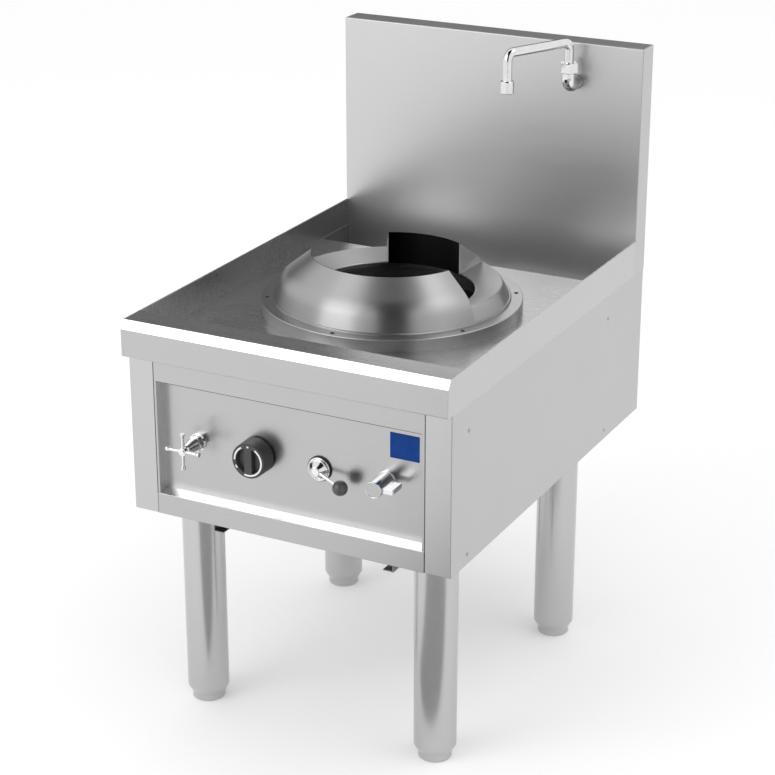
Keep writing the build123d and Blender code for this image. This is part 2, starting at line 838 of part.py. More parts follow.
# ---------------------------------------------------------------- burner
burner_floor = Plane(origin=(0, burner_y, 0))
combustion_chamber = turned(
    burner_floor,
    [
        (chamber_mouth, chamber_bottom),
        (chamber_radius, chamber_bottom),
        (chamber_radius, chamber_top - chamber_wall),
        (chamber_radius + chamber_flange, chamber_top - chamber_wall),
        (chamber_radius + chamber_flange, chamber_top),
        (chamber_radius - chamber_wall, chamber_top),
        (chamber_radius - chamber_wall, chamber_bottom + chamber_wall),
        (chamber_mouth, chamber_bottom + chamber_wall),
    ],
)
with BuildPart() as chamber:
    add(combustion_chamber)
    with Locations((0, burner_y, chamber_top)):
        with PolarLocations(collar_screw_circle, collar_screws, start_angle=first_screw):
            Cylinder(screw_radius + fit_gap, 3 * chamber_wall, mode=Mode.SUBTRACT)
finish(chamber.part, "combustion_chamber")

lining_base = chamber_bottom + chamber_wall
lining_out = chamber_radius - chamber_wall - fit_gap
firebrick_lining = turned(
    burner_floor,
    [
        (lining_bottom_radius, lining_base),
        (lining_out, lining_base),
        (lining_out, lining_base + lining_height),
        (lining_top_radius, lining_base + lining_height),
    ],
)
finish(firebrick_lining, "firebrick_lining")

burner_top = burner_bottom + burner_height
with BuildPart() as burner_head:
    with BuildSketch(axial(burner_floor)):
        with BuildLine():
            Polyline(
                (mixer_bore, burner_bottom),
                (mixer_radius + burner_wall, burner_bottom),
                (burner_radius, burner_bottom + burner_bowl_rise),
                (burner_radius, burner_top - burner_bevel_rise),
                (burner_radius - burner_bevel_run, burner_top),
                (0, burner_top - burner_dish),
                (0, burner_top - burner_dish - burner_wall),
                (burner_radius - burner_bevel_run, burner_top - burner_wall),
                (burner_radius - burner_wall, burner_top - burner_bevel_rise - burner_wall / 2),
                (burner_radius - burner_wall, burner_bottom + burner_bowl_rise + burner_wall / 2),
                (mixer_bore, burner_bottom + burner_wall),
                close=True,
            )
        make_face()
    revolve(axis=burner_axis)
    with Locations((0, burner_y, burner_top)):
        with PolarLocations(burner_radius - burner_bevel_run / 2, burner_ports):
            Cylinder(burner_port_radius, 2 * burner_port_depth, mode=Mode.SUBTRACT)
finish(burner_head.part, "burner_head")

mixer_mouth = burner_y - mixer_length
mixer_route = [(0, burner_y, burner_bottom), (0, burner_y, mixer_height), (0, mixer_mouth, mixer_height)]
with BuildPart() as mixing_tube:
    add(bent_tube(mixer_route, mixer_radius, mixer_bend, mixer_bore))
    add(
        turned(
            facing_front(0, mixer_mouth, mixer_height),
            [
                (mixer_bore, 0),
                (mixer_radius, 0),
                (bell_radius, bell_length),
                (bell_radius - mixer_radius + mixer_bore, bell_length),
            ],
        )
    )
finish(mixing_tube.part, "mixing_tube")

with BuildPart() as burner_support:
    with BuildSketch(Plane(origin=(0, burner_y, rail_top))):
        Rectangle(2 * leg_x + rail_width, support_width)
    extrude(amount=support_thickness)
    post_top = mixer_height - mixer_radius
    with BuildSketch(Plane(origin=(0, burner_y - mixer_bend - support_width / 2, rail_top))):
        Rectangle(support_width, support_width + 2 * mixer_bend)
    extrude(amount=support_thickness)
    with BuildSketch(Plane(origin=(0, burner_y - mixer_bend - support_width / 2, rail_top))):
        Rectangle(support_width / 2, support_width / 2)
    extrude(amount=post_top - rail_top)
finish(burner_support.part, "burner_support")

injector_mouth = mixer_mouth - bell_length
feed_end = injector_mouth - injector_length
injector_tip = injector_length + bell_length / 2
with BuildPart() as gas_injector:
    injector_base = Plane(origin=(0, feed_end, mixer_height), x_dir=(1, 0, 0), z_dir=(0, 1, 0))
    with BuildSketch(injector_base):
        RegularPolygon(injector_hex_radius, 6)
    extrude(amount=injector_hex_length)
    with BuildSketch(injector_base):
        Circle(injector_nose_radius)
    extrude(amount=injector_tip)
    with BuildSketch(injector_base.offset(injector_hex_length)):
        Circle(shutter_radius)
    extrude(amount=shutter_sheet)
    with BuildSketch(injector_base.offset(injector_tip)):
        Circle(jet_radius)
    extrude(amount=-injector_length, mode=Mode.SUBTRACT)
finish(gas_injector.part, "gas_injector")


def valve_body(x, z, neck_length, bore_depth):
    """A brass valve behind the panel, with a neck through it and a bore for the spindle."""
    base = facing_front(x, panel_rear, z)
    with BuildPart() as body:
        with BuildSketch(base):
            Rectangle(valve_box, valve_box)
        extrude(amount=-valve_depth)
        chamfer(body.edges().filter_by(Axis.Y), length=valve_chamfer)
        if neck_length:
            with BuildSketch(base):
                Circle(neck_radius)
            extrude(amount=neck_length)
        with BuildSketch(base.offset(neck_length)):
            Circle(spindle_radius + running)
        extrude(amount=-(neck_length + bore_depth), mode=Mode.SUBTRACT)
    return body.part


# ---------------------------------------------------------------- gas valve and knob
gas_valve = valve_body(knob_x, control_height, 0.0, spindle_depth + knob_travel + fit_gap)
finish(gas_valve, "gas_valve")

knob_base = facing_front(knob_x, panel_face, control_height)
knob_start = knob_travel + knob_gap
with BuildPart() as gas_spindle:
    with BuildSketch(knob_base.offset(-sheet - spindle_depth)):
        Circle(spindle_radius)
    extrude(amount=sheet + spindle_depth + knob_start + knob_socket)
finish(gas_spindle.part, "gas_spindle")

with BuildPart() as gas_knob:
    with BuildSketch(knob_base.offset(knob_start)):
        Circle(knob_radius)
    extrude(amount=knob_reach - knob_start, taper=knob_draft)
    knob_front = gas_knob.faces().sort_by(Axis.Y)[0]
    fillet(knob_front.edges(), radius=knob_round)
    with BuildSketch(knob_base.offset(knob_reach)):
        Circle(knob_dish_radius)
        with Locations((0, 0)):
            Rectangle(knob_grip, 3 * knob_dish_radius, mode=Mode.SUBTRACT)
    extrude(amount=-knob_dish_depth, taper=knob_dish_draft, mode=Mode.SUBTRACT)
    with BuildSketch(knob_base.offset(knob_start)):
        Circle(spindle_radius + running)
    extrude(amount=knob_socket + fit_gap, mode=Mode.SUBTRACT)
finish(gas_knob.part, "gas_knob")

# ---------------------------------------------------------------- flame regulator with its ball lever
regulator_neck = sheet + lever_gasket_thickness
regulator_valve = valve_body(lever_x, lever_height, regulator_neck, spindle_depth)
finish(regulator_valve, "regulator_valve")

lever_base_plane = facing_front(lever_x, panel_face, lever_height)
neck_hole = neck_radius + fit_gap
lever_gasket = turned(
    lever_base_plane,
    [
        (neck_hole, 0),
        (lever_gasket_radius, 0),
        (lever_gasket_radius, lever_gasket_thickness),
        (neck_hole, lever_gasket_thickness),
    ],
)
finish(lever_gasket, "lever_gasket")

base_front = lever_gasket_thickness + lever_base_thickness
with BuildPart() as lever_base:
    with BuildSketch(lever_base_plane.offset(lever_gasket_thickness)):
        Circle(lever_base_radius)
        Circle(spindle_radius + running, mode=Mode.SUBTRACT)
    extrude(amount=lever_base_thickness)
    fillet(lever_base.faces().sort_by(Axis.Y)[0].edges().sort_by(SortBy.RADIUS)[-1], radius=edge_round)
finish(lever_base.part, "lever_base")

cone_start = base_front + fit_gap
cone_front = cone_start + lever_cone_length
with BuildPart() as ball_lever:
    with BuildSketch(axial(lever_base_plane)):
        with BuildLine():
            Polyline(
                (0, -sheet - spindle_depth + fit_gap),
                (spindle_radius, -sheet - spindle_depth + fit_gap),
                (spindle_radius, cone_start),
                (lever_cone_radius, cone_start),
                (lever_cone_radius - lever_cone_step, cone_start + lever_cone_rim),
                (lever_cap_radius, cone_front - lever_cap_edge),
                (lever_cap_radius - lever_cap_edge, cone_front),
                (0, cone_front),
                close=True,
            )
        make_face()
    revolve(axis=Axis(lever_base_plane.origin, lever_base_plane.z_dir))
    rod_start = Vector(lever_x, panel_face - cone_start - lever_rod_setback, lever_height)
    ball_centre = Vector(
        lever_x + lever_ball_across,
        panel_face - lever_ball_reach,
        lever_height - lever_ball_down,
    )
    rod_way = ball_centre - rod_start
    with BuildSketch(Plane(origin=rod_start, z_dir=rod_way)):
        Circle(lever_rod_radius)
    extrude(amount=rod_way.length)
    with Locations(ball_centre):
        Sphere(lever_ball_radius)
finish(ball_lever.part, "ball_lever")

# ---------------------------------------------------------------- stop valve with its cross handle
cross_valve = valve_body(cross_x, control_height, sheet + cross_neck_length, spindle_depth)
finish(cross_valve, "cross_valve")

cross_base = facing_front(cross_x, panel_face, control_height)
bonnet_end = cross_reach - cross_hub_length / 2 - fit_gap
with BuildPart() as cross_bonnet:
    with BuildSketch(axial(cross_base)):
        with BuildLine():
            Polyline(
                (neck_hole, 0),
                (bonnet_flange_radius, 0),
                (bonnet_flange_radius, bonnet_flange),
                (bonnet_radius, bonnet_shoulder),
                (bonnet_body_radius, bonnet_body),
                (bonnet_nose_radius, bonnet_end - bonnet_tip),
                (bonnet_tip_radius, bonnet_end),
                (spindle_radius + running, bonnet_end),
                (spindle_radius + running, cross_neck_length + fit_gap),
                (neck_hole, cross_neck_length + fit_gap),
                close=True,
            )
        make_face()
    revolve(axis=Axis(cross_base.origin, cross_base.z_dir))
    with BuildSketch(cross_base.offset(gland_start)):
        RegularPolygon(gland_radius, 6)
        Circle(neck_hole, mode=Mode.SUBTRACT)
    extrude(amount=gland_length)
finish(cross_bonnet.part, "cross_bonnet")

with BuildPart() as cross_handle:
    hub_back = cross_base.offset(cross_reach - cross_hub_length / 2)
    with BuildSketch(hub_back):
        Circle(cross_hub_radius)
    extrude(amount=cross_hub_length - cross_cap)
    with BuildSketch(hub_back.offset(cross_hub_length - cross_cap)):
        Circle(cross_cap_radius)
    extrude(amount=control_proud + recess_depth - cross_reach - cross_hub_length / 2 + cross_cap)
    with BuildSketch(hub_back):
        Circle(spindle_radius)
    extrude(amount=-(bonnet_end + sheet + spindle_depth))
    for turn in range(4):
        way = Vector(1, 0, 0).rotate(Axis.Y, 90 * turn)
        arm_start = Plane(origin=(cross_x, panel_face - cross_reach, control_height), z_dir=way)
        arm_outline = [
            (0, cross_hub_radius / 2),
            (cross_arm_thin, cross_hub_radius / 2),
            (cross_arm_thin, cross_span / 2 - cross_arm_flare),
            (cross_arm_thick, cross_span / 2 - cross_arm_flat),
            (cross_arm_thick, cross_span / 2),
            (0, cross_span / 2),
        ]
        add(turned(arm_start, arm_outline))
finish(cross_handle.part, "cross_handle")

# ---------------------------------------------------------------- lever tap
tap_valve = valve_body(tap_x, tap_height, sheet + tap_neck, spindle_depth)
finish(tap_valve, "tap_valve")

tap_base = facing_front(tap_x, panel_face, tap_height)
with BuildPart() as tap_collar:
    with BuildSketch(tap_base):
        Circle(tap_collar_radius)
        Circle(neck_hole, mode=Mode.SUBTRACT)
    extrude(amount=tap_collar_length)
    fillet(tap_collar.faces().sort_by(Axis.Y)[0].edges().sort_by(SortBy.RADIUS)[-1], radius=tap_collar_round)
finish(tap_collar.part, "tap_collar")

with BuildPart() as tap_handle:
    barrel_start = tap_collar_length + fit_gap
    with BuildSketch(tap_base.offset(barrel_start)):
        Circle(tap_radius)
    extrude(amount=tap_reach - barrel_start)
    fillet(tap_handle.faces().sort_by(Axis.Y)[0].edges(), radius=edge_round)
    paddle_front = tap_reach - paddle_setback
    with BuildSketch(tap_base.offset(paddle_front)):
        with Locations((paddle_reach / 2, 0)):
            Rectangle(paddle_reach, paddle_thickness)
    extrude(amount=-paddle_length)
    paddle_end = tap_handle.faces().sort_by(Axis.X)[-1]
    fillet(paddle_end.edges(), radius=paddle_round)
    with BuildSketch(tap_base.offset(barrel_start)):
        Circle(spindle_radius)
    extrude(amount=-(barrel_start + sheet + spindle_depth - fit_gap))
finish(tap_handle.part, "tap_handle")

with BuildPart() as name_plate:
    with BuildSketch(facing_front(plate_x, panel_face, plate_height)):
        Rectangle(plate_width, plate_tall)
    extrude(amount=plate_thickness)
finish(name_plate.part, "name_plate")

# ---------------------------------------------------------------- gas pipes, pilot and thermocouple
gas_valve_bottom = control_height - valve_box / 2


def supply_pipe(route):
    """A supply pipe that starts in a threaded socket on the rear panel."""
    x, _, z = route[0]
    mouth = Plane(origin=(x, back - sheet, z), x_dir=(1, 0, 0), z_dir=(0, 1, 0))
    with BuildPart() as piece:
        add(bent_tube(route, pipe_radius, pipe_bend))
        with BuildSketch(mouth):
            Circle(socket_radius)
        extrude(amount=-socket_length)
        with BuildSketch(mouth):
            Circle(thread_radius)
        extrude(amount=-thread_length, mode=Mode.SUBTRACT)
    return piece.part


socket_back = back - sheet - socket_length + socket_overlap
gas_supply_pipe = supply_pipe(
    [
        (gas_inlet_x, socket_back, gas_inlet_height),
        (gas_inlet_x, valve_middle, gas_inlet_height),
        (knob_x, valve_middle, gas_inlet_height),
        (knob_x, valve_middle, gas_valve_bottom),
    ]
)
finish(gas_supply_pipe, "gas_supply_pipe")

with BuildPart() as gas_link_pipe:
    with BuildSketch(Plane(origin=(knob_x + valve_box / 2, valve_middle, lever_height), z_dir=(1, 0, 0))):
        Circle(pipe_radius)
    extrude(amount=lever_x - knob_x - valve_box)
finish(gas_link_pipe.part, "gas_link_pipe")

burner_feed_pipe = bent_tube(
    [
        (lever_x, valve_middle, lever_height - valve_box / 2),
        (lever_x, valve_middle, mixer_height),
        (0, valve_middle, mixer_height),
        (0, feed_end, mixer_height),
    ],
    pipe_radius,
    pipe_bend,
)
finish(burner_feed_pipe, "burner_feed_pipe")


def sensor_line(x, tip_height, tip_radius, tip_length):
    """A thin line from the gas valve to the edge of the burner, with a thicker tip."""
    tip_y = burner_y - sqrt(pilot_circle**2 - x**2)
    start_y = panel_rear + valve_depth
    low = chamber_bottom - sensor_drop
    route = [
        (x, start_y, control_height),
        (x, start_y + sensor_setback, control_height),
        (x, start_y + sensor_setback, low),
        (x, tip_y, low),
        (x, tip_y, tip_height),
    ]
    with BuildPart() as line:
        add(bent_tube(route, small_pipe_radius, small_pipe_bend))
        with BuildSketch(Plane(origin=(x, tip_y, tip_height))):
            Circle(tip_radius)
        extrude(amount=tip_length)
    return line.part


pilot_burner = sensor_line(
    knob_x + pilot_offset, burner_bottom + pilot_tip_rise, pilot_tip_radius, pilot_tip_length
)
finish(pilot_burner, "pilot_burner")
thermocouple = sensor_line(
    knob_x - probe_offset, burner_bottom + probe_tip_rise, probe_tip_radius, probe_tip_length
)
finish(thermocouple, "thermocouple")

# ---------------------------------------------------------------- water pipes
water_supply_pipe = supply_pipe(
    [
        (water_inlet_x, socket_back, control_height),
        (water_inlet_x, valve_middle, control_height),
        (cross_x - valve_box / 2, valve_middle, control_height),
    ]
)
finish(water_supply_pipe, "water_supply_pipe")

water_link_pipe = bent_tube(
    [
        (cross_x, valve_middle, control_height + valve_box / 2),
        (cross_x, valve_middle, link_height),
        (tap_x, valve_middle, link_height),
        (tap_x, valve_middle, tap_height + valve_box / 2),
    ],
    pipe_radius,
    pipe_bend,
)
finish(water_link_pipe, "water_link_pipe")

elbow_rear = splash_face + 2 * sheet
faucet_feed_pipe = bent_tube(
    [
        (tap_x + valve_box / 2, valve_middle, tap_height),
        (feed_x, valve_middle, tap_height),
        (feed_x, feed_y, tap_height),
        (feed_x, feed_y, spout_inlet_height),
        (spout_x, feed_y, spout_inlet_height),
        (spout_x, elbow_rear, spout_inlet_height),
    ],
    pipe_radius,
    pipe_bend,
)
finish(faucet_feed_pipe, "faucet_feed_pipe")

# ---------------------------------------------------------------- swivel spout
with BuildPart() as faucet_elbow:
    add(
        bent_tube(
            [
                (spout_x, elbow_rear, spout_inlet_height),
                (spout_x, spout_y, spout_inlet_height),
                (spout_x, spout_y, nut_seat),
            ],
            elbow_radius,
            elbow_bend,
        )
    )
finish(faucet_elbow.part, "faucet_elbow")

with BuildPart() as faucet_nut:
    with BuildSketch(Plane(origin=(spout_x, spout_y, nut_seat))):
        RegularPolygon(nut_across / 2, 6)
        Circle(spout_radius + running, mode=Mode.SUBTRACT)
    extrude(amount=nut_height)
    nut_rims = faucet_nut.faces().filter_by(Axis.Z)
    for rim in nut_rims:
        corners = rim.outer_wire().edges()
        chamfer(corners, length=edge_round)
finish(faucet_nut.part, "faucet_nut")

arm_height = spout_inlet_height + spout_rise
spout_way = Vector(1, 0, 0).rotate(Axis.Z, spout_angle)
spout_end = Vector(spout_x, spout_y, arm_height) + spout_way * spout_arm
nozzle_mouth = arm_height - nozzle_bottom
nozzle_top = nozzle_mouth + nozzle_height
swivel_spout = bent_tube(
    [
        (spout_x, spout_y, nut_seat + fit_gap),
        (spout_x, spout_y, arm_height),
        (spout_end.X, spout_end.Y, arm_height),
        (spout_end.X, spout_end.Y, nozzle_top - nozzle_socket),
    ],
    spout_radius,
    spout_bend,
    spout_bore,
)
finish(swivel_spout, "swivel_spout")

spout_nozzle = turned(
    Plane(origin=(spout_end.X, spout_end.Y, nozzle_mouth)),
    [
        (spout_bore, 0),
        (nozzle_radius - edge_round, 0),
        (nozzle_radius, edge_round),
        (nozzle_radius, nozzle_height - edge_round),
        (nozzle_radius - edge_round, nozzle_height),
        (spout_radius + running, nozzle_height),
        (spout_radius + running, nozzle_height - nozzle_socket),
        (spout_bore, nozzle_height - nozzle_socket),
    ],
)
finish(spout_nozzle, "spout_nozzle")

# ---------------------------------------------------------------- gutter drain
with BuildPart() as drain_strainer:
    with BuildSketch(Plane(origin=(0, drain_y, gutter_floor))):
        Circle(strainer_radius)
        with PolarLocations(strainer_inner_ring, strainer_inner_holes):
            Circle(strainer_hole, mode=Mode.SUBTRACT)
        with PolarLocations(strainer_outer_ring, strainer_outer_holes):
            Circle(strainer_hole, mode=Mode.SUBTRACT)
    extrude(amount=strainer_thickness)
finish(drain_strainer.part, "drain_strainer")

drain_top = gutter_floor - sheet
drain_pipe = turned(
    Plane(origin=(0, drain_y, 0)),
    [
        (drain_radius - drain_wall, drain_bottom),
        (drain_radius, drain_bottom),
        (drain_radius, drain_bottom + drain_spigot),
        (hose_stop_radius, drain_bottom + drain_spigot),
        (hose_stop_radius, drain_bottom + drain_spigot + hose_stop),
        (drain_radius, drain_bottom + drain_spigot + hose_stop),
        (drain_radius, drain_top - drain_flange),
        (strainer_radius, drain_top - drain_flange),
        (strainer_radius, drain_top),
        (drain_radius - drain_wall, drain_top),
    ],
)
finish(drain_pipe, "drain_pipe")

# ---------------------------------------------------------------- drip tray on its runners
with BuildPart() as tray_runners:
    for side in (-1, 1):
        web_middle = side * (runner_x - runner_sheet / 2)
        foot_middle = side * (runner_x - runner_foot / 2)
        hanger_reach = leg_x - rail_width / 2 + hanger_overlap
        hanger_middle = side * (runner_x - runner_sheet + hanger_reach) / 2
        hanger_width = hanger_reach - runner_x + runner_sheet
        hanger_start = leg_front_y + leg_plate_length / 2 + hanger_gap
        hanger_end = leg_rear_y - leg_plate_length / 2 - hanger_gap
        runner_start = front + runner_setback
        runner_end = runner_start + runner_length
        with BuildSketch(Plane.XY.offset(runner_bottom)):
            with Locations((web_middle, (runner_start + runner_end) / 2)):
                Rectangle(runner_sheet, runner_length)
        extrude(amount=runner_web)
        with BuildSketch(Plane.XY.offset(runner_bottom)):
            with Locations((foot_middle, (runner_start + runner_end) / 2)):
                Rectangle(runner_foot, runner_length)
        extrude(amount=runner_sheet)
        with BuildSketch(Plane.XY.offset(runner_bottom)):
            with Locations((web_middle, (hanger_start + hanger_end) / 2)):
                Rectangle(runner_sheet, hanger_end - hanger_start)
        extrude(amount=rail_bottom - runner_bottom)
        with BuildSketch(Plane.XY.offset(rail_bottom - runner_sheet)):
            with Locations((hanger_middle, (hanger_start + hanger_end) / 2)):
                Rectangle(hanger_width, hanger_end - hanger_start)
        extrude(amount=runner_sheet)
finish(tray_runners.part, "tray_runners")

with BuildPart() as drip_tray:
    tray_width = 2 * (runner_x - runner_sheet - tray_gap)
    tray_bottom = runner_bottom + runner_sheet
    with BuildSketch(Plane.XY.offset(tray_bottom)):
        with Locations((0, front + tray_setback + tray_length / 2)):
            Rectangle(tray_width, tray_length)
    extrude(amount=tray_height)
    fillet(drip_tray.edges().filter_by(Axis.Z), radius=tray_corner)
    offset(amount=-tray_sheet, openings=drip_tray.faces().sort_by(Axis.Z)[-1])
finish(drip_tray.part, "drip_tray")

# ---------------------------------------------------------------- write the pieces
os.makedirs("parts", exist_ok=True)
for piece in pieces:
    export_step(piece, f"parts/{piece.label}.step")
    size = piece.bounding_box().size
    print(f"{piece.label:22s} {len(piece.solids())} solid(s) {size.X:7.1f} {size.Y:7.1f} {size.Z:7.1f}")
print(len(pieces), "pieces")
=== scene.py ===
import json
import math

import bmesh
import bpy
import numpy as np
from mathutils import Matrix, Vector

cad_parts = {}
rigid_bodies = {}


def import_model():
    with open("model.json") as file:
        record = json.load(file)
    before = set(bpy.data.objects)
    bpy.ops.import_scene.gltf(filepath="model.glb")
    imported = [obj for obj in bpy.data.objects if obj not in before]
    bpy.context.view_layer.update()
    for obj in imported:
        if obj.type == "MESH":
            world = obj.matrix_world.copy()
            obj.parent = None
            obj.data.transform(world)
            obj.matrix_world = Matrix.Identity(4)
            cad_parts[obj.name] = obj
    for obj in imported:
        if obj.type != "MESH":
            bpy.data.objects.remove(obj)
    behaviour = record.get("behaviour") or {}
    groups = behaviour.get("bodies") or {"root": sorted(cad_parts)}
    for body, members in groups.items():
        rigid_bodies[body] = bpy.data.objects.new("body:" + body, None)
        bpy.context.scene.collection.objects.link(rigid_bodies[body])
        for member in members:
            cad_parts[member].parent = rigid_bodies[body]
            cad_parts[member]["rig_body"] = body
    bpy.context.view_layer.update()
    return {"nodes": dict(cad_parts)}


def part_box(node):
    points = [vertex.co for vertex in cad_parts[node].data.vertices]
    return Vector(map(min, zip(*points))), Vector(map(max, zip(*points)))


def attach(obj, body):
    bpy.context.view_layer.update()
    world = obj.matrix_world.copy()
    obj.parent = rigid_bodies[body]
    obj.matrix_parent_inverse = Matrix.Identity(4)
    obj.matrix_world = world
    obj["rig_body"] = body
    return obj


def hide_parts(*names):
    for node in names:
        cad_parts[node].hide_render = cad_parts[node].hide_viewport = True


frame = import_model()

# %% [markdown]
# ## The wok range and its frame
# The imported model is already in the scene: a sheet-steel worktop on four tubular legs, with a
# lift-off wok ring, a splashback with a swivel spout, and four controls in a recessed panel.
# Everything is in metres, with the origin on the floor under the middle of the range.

nodes = frame["nodes"]
base_nodes = [name for name, obj in nodes.items() if obj["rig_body"] == "base"]
print(len(nodes), "nodes,", len(base_nodes), "of them on the base")

# %% [markdown]
# ## The camera
# The photograph is taken from the right, above rim height, with a long lens. A long lens is what
# keeps the upright edges nearly parallel. The place and the turn come from a fit of the range's
# own corners, so the camera needs no shift.

# %% Place the camera
SENSOR_WIDTH, FOCAL_LENGTH = 36.0, 100.84
CAMERA_PLACE = (1.771368, -3.457168, 2.115403)
LOOK_DOWN, ROLL, HEADING = 0.37756, 0.00038, 0.47733
camera_data = bpy.data.cameras.new("range_camera")
camera_data.sensor_width = SENSOR_WIDTH
camera_data.lens = FOCAL_LENGTH
camera_data.clip_end = 60.0
camera = bpy.data.objects.new("range_camera", camera_data)
bpy.context.scene.collection.objects.link(camera)
camera.location = CAMERA_PLACE
camera.rotation_euler = (math.pi / 2 - LOOK_DOWN, ROLL, HEADING)
bpy.context.scene.camera = camera
print("camera at", tuple(round(v, 3) for v in camera.location), "lens", camera_data.lens)

# %% [markdown]
# ## The studio
# Polished and brushed steel has hardly any colour of its own: it shows the room. So the room is
# built for the reflections first. A pale floor and a pale world fill the upright faces. The floor
# and the world look white where the camera or a reflection sees them, and light the range a little
# less than that, so that its shadow still shows.

# %% Floor and world
STUDIO_LEVEL = 0.86
FLOOR_WHITE, FLOOR_LIFT, FLOOR_HALF = 0.9, 0.20, 14


def seen_directly(tree):
    """A mask that is 1 for rays from the camera and for the rays that mirrors and glass send on."""
    path = tree.nodes.new("ShaderNodeLightPath")
    first = tree.nodes.new("ShaderNodeMath")
    first.operation = "MAXIMUM"
    tree.links.new(path.outputs["Is Camera Ray"], first.inputs[0])
    tree.links.new(path.outputs["Is Glossy Ray"], first.inputs[1])
    second = tree.nodes.new("ShaderNodeMath")
    second.operation = "MAXIMUM"
    tree.links.new(first.outputs[0], second.inputs[0])
    tree.links.new(path.outputs["Is Transmission Ray"], second.inputs[1])
    return second.outputs[0]


world = bpy.data.worlds.new("studio_world")
bpy.context.scene.world = world
world.use_nodes = True
sky = world.node_tree
sky_shader = sky.nodes["Background"]
sky_strength = sky.nodes.new("ShaderNodeMapRange")
sky_strength.inputs["To Min"].default_value = STUDIO_LEVEL
sky_strength.inputs["To Max"].default_value = 1.0
sky.links.new(seen_directly(sky), sky_strength.inputs["Value"])
sky.links.new(sky_strength.outputs["Result"], sky_shader.inputs["Strength"])
sky_shader.inputs["Color"].default_value = (1, 1, 1, 1)

floor_material = bpy.data.materials.new("studio_floor")
floor_material.use_nodes = True
floor_tree = floor_material.node_tree
floor_shader = floor_tree.nodes["Principled BSDF"]
floor_shader.inputs["Base Color"].default_value = (FLOOR_WHITE, FLOOR_WHITE, FLOOR_WHITE, 1)
floor_shader.inputs["Roughness"].default_value = 0.9
floor_shader.inputs["Specular IOR Level"].default_value = 0.0
floor_shader.inputs["Emission Color"].default_value = (1, 1, 1, 1)
floor_lift = floor_tree.nodes.new("ShaderNodeMath")
floor_lift.operation = "MULTIPLY"
floor_lift.inputs[1].default_value = FLOOR_LIFT
floor_tree.links.new(seen_directly(floor_tree), floor_lift.inputs[0])
floor_tree.links.new(floor_lift.outputs[0], floor_shader.inputs["Emission Strength"])

floor_mesh = bpy.data.meshes.new("studio_floor")
floor_mesh.from_pydata([(-FLOOR_HALF, -FLOOR_HALF, 0), (FLOOR_HALF, -FLOOR_HALF, 0),
                        (FLOOR_HALF, FLOOR_HALF, 0), (-FLOOR_HALF, FLOOR_HALF, 0)], [], [(0, 1, 2, 3)])
floor = bpy.data.objects.new("studio_floor", floor_mesh)
bpy.context.scene.collection.objects.link(floor)
floor.data.materials.append(floor_material)
print("world level", STUDIO_LEVEL, "floor", floor.dimensions.x, "m wide")

# %% [markdown]
# ## The lamps
# A large soft box in front on the left lights the splashback and the ring, and one above on the
# right lights the side and the rim. In the photograph the chamfered nose and the sill of the
# recess are two pure white stripes, because each mirrors a bright lamp. Each stripe has a soft box
# of its own here, in the place that it mirrors. Light linking keeps those two lamps off all the
# other pieces, so the rest of the range stays at a plain level.

# %% Soft boxes


def facing(place, target):
    """The turn that points an object's -Z from a place at a target."""
    return (Vector(target) - Vector(place)).to_track_quat("-Z", "Y").to_euler()


def soft_box(name, place, target, width, height, radiance):
    """A rectangular lamp whose brightness is given as the radiance of its face."""
    data = bpy.data.lights.new(name, "AREA")
    data.shape = "RECTANGLE"
    data.size, data.size_y = width, height
    data.energy = radiance * math.pi * width * height
    lamp = bpy.data.objects.new(name, data)
    bpy.context.scene.collection.objects.link(lamp)
    lamp.location = place
    lamp.rotation_euler = facing(place, target)
    lamp.visible_camera = False
    return lamp


soft_box("key_soft_box", (-1.75, -3.1, 2.4), (0, 0.2, 0.85), 2.4, 3.0, 1.6)
soft_box("top_soft_box", (1.9, 0.3, 3.6), (0.1, 0, 0.8), 1.6, 1.6, 1.3)

STRIPE_PLACE, STRIPE_TARGET = (-1.38, -2.45, 2.86), (0, -0.43, 0.78)
STRIPE_WIDTH, STRIPE_HEIGHT = 1.9, 1.1
for name, radiance, lit in (("nose_soft_box", 1.3, ["worktop_deck"]),
                            ("sill_soft_box", 3.6, ["control_panel", "front_valance"])):
    stripe_lamp = soft_box(name, STRIPE_PLACE, STRIPE_TARGET, STRIPE_WIDTH, STRIPE_HEIGHT, radiance)
    receivers = bpy.data.collections.new(name + "_lit")
    for piece in lit:
        receivers.objects.link(nodes[piece])
    stripe_lamp.light_linking.receiver_collection = receivers

# %% [markdown]
# ## The cards
# Steel also needs something dark to mirror, or its form is lost in white. Five cards stand round
# the range: one at the back on the left for the worktop, one overhead and one in front on the
# right for the ring, and two on the floor, for the legs and for the front as it is seen from the
# left. Only reflections see them: they are hidden from the camera, take no part in the soft light
# and throw no shadow.

# %% Cards


def card(name, corners, level):
    """A stage card that only polished surfaces see."""
    mesh = bpy.data.meshes.new(name)
    mesh.from_pydata(corners, [], [(0, 1, 2, 3)])
    obj = bpy.data.objects.new(name, mesh)
    bpy.context.scene.collection.objects.link(obj)
    material = bpy.data.materials.new(name)
    material.use_nodes = True
    shader = material.node_tree.nodes["Principled BSDF"]
    shader.inputs["Base Color"].default_value = (level, level, level, 1)
    shader.inputs["Roughness"].default_value = 1.0
    shader.inputs["Specular IOR Level"].default_value = 0.0
    mesh.materials.append(material)
    obj.visible_camera = False
    obj.visible_diffuse = False
    obj.visible_shadow = False
    return obj


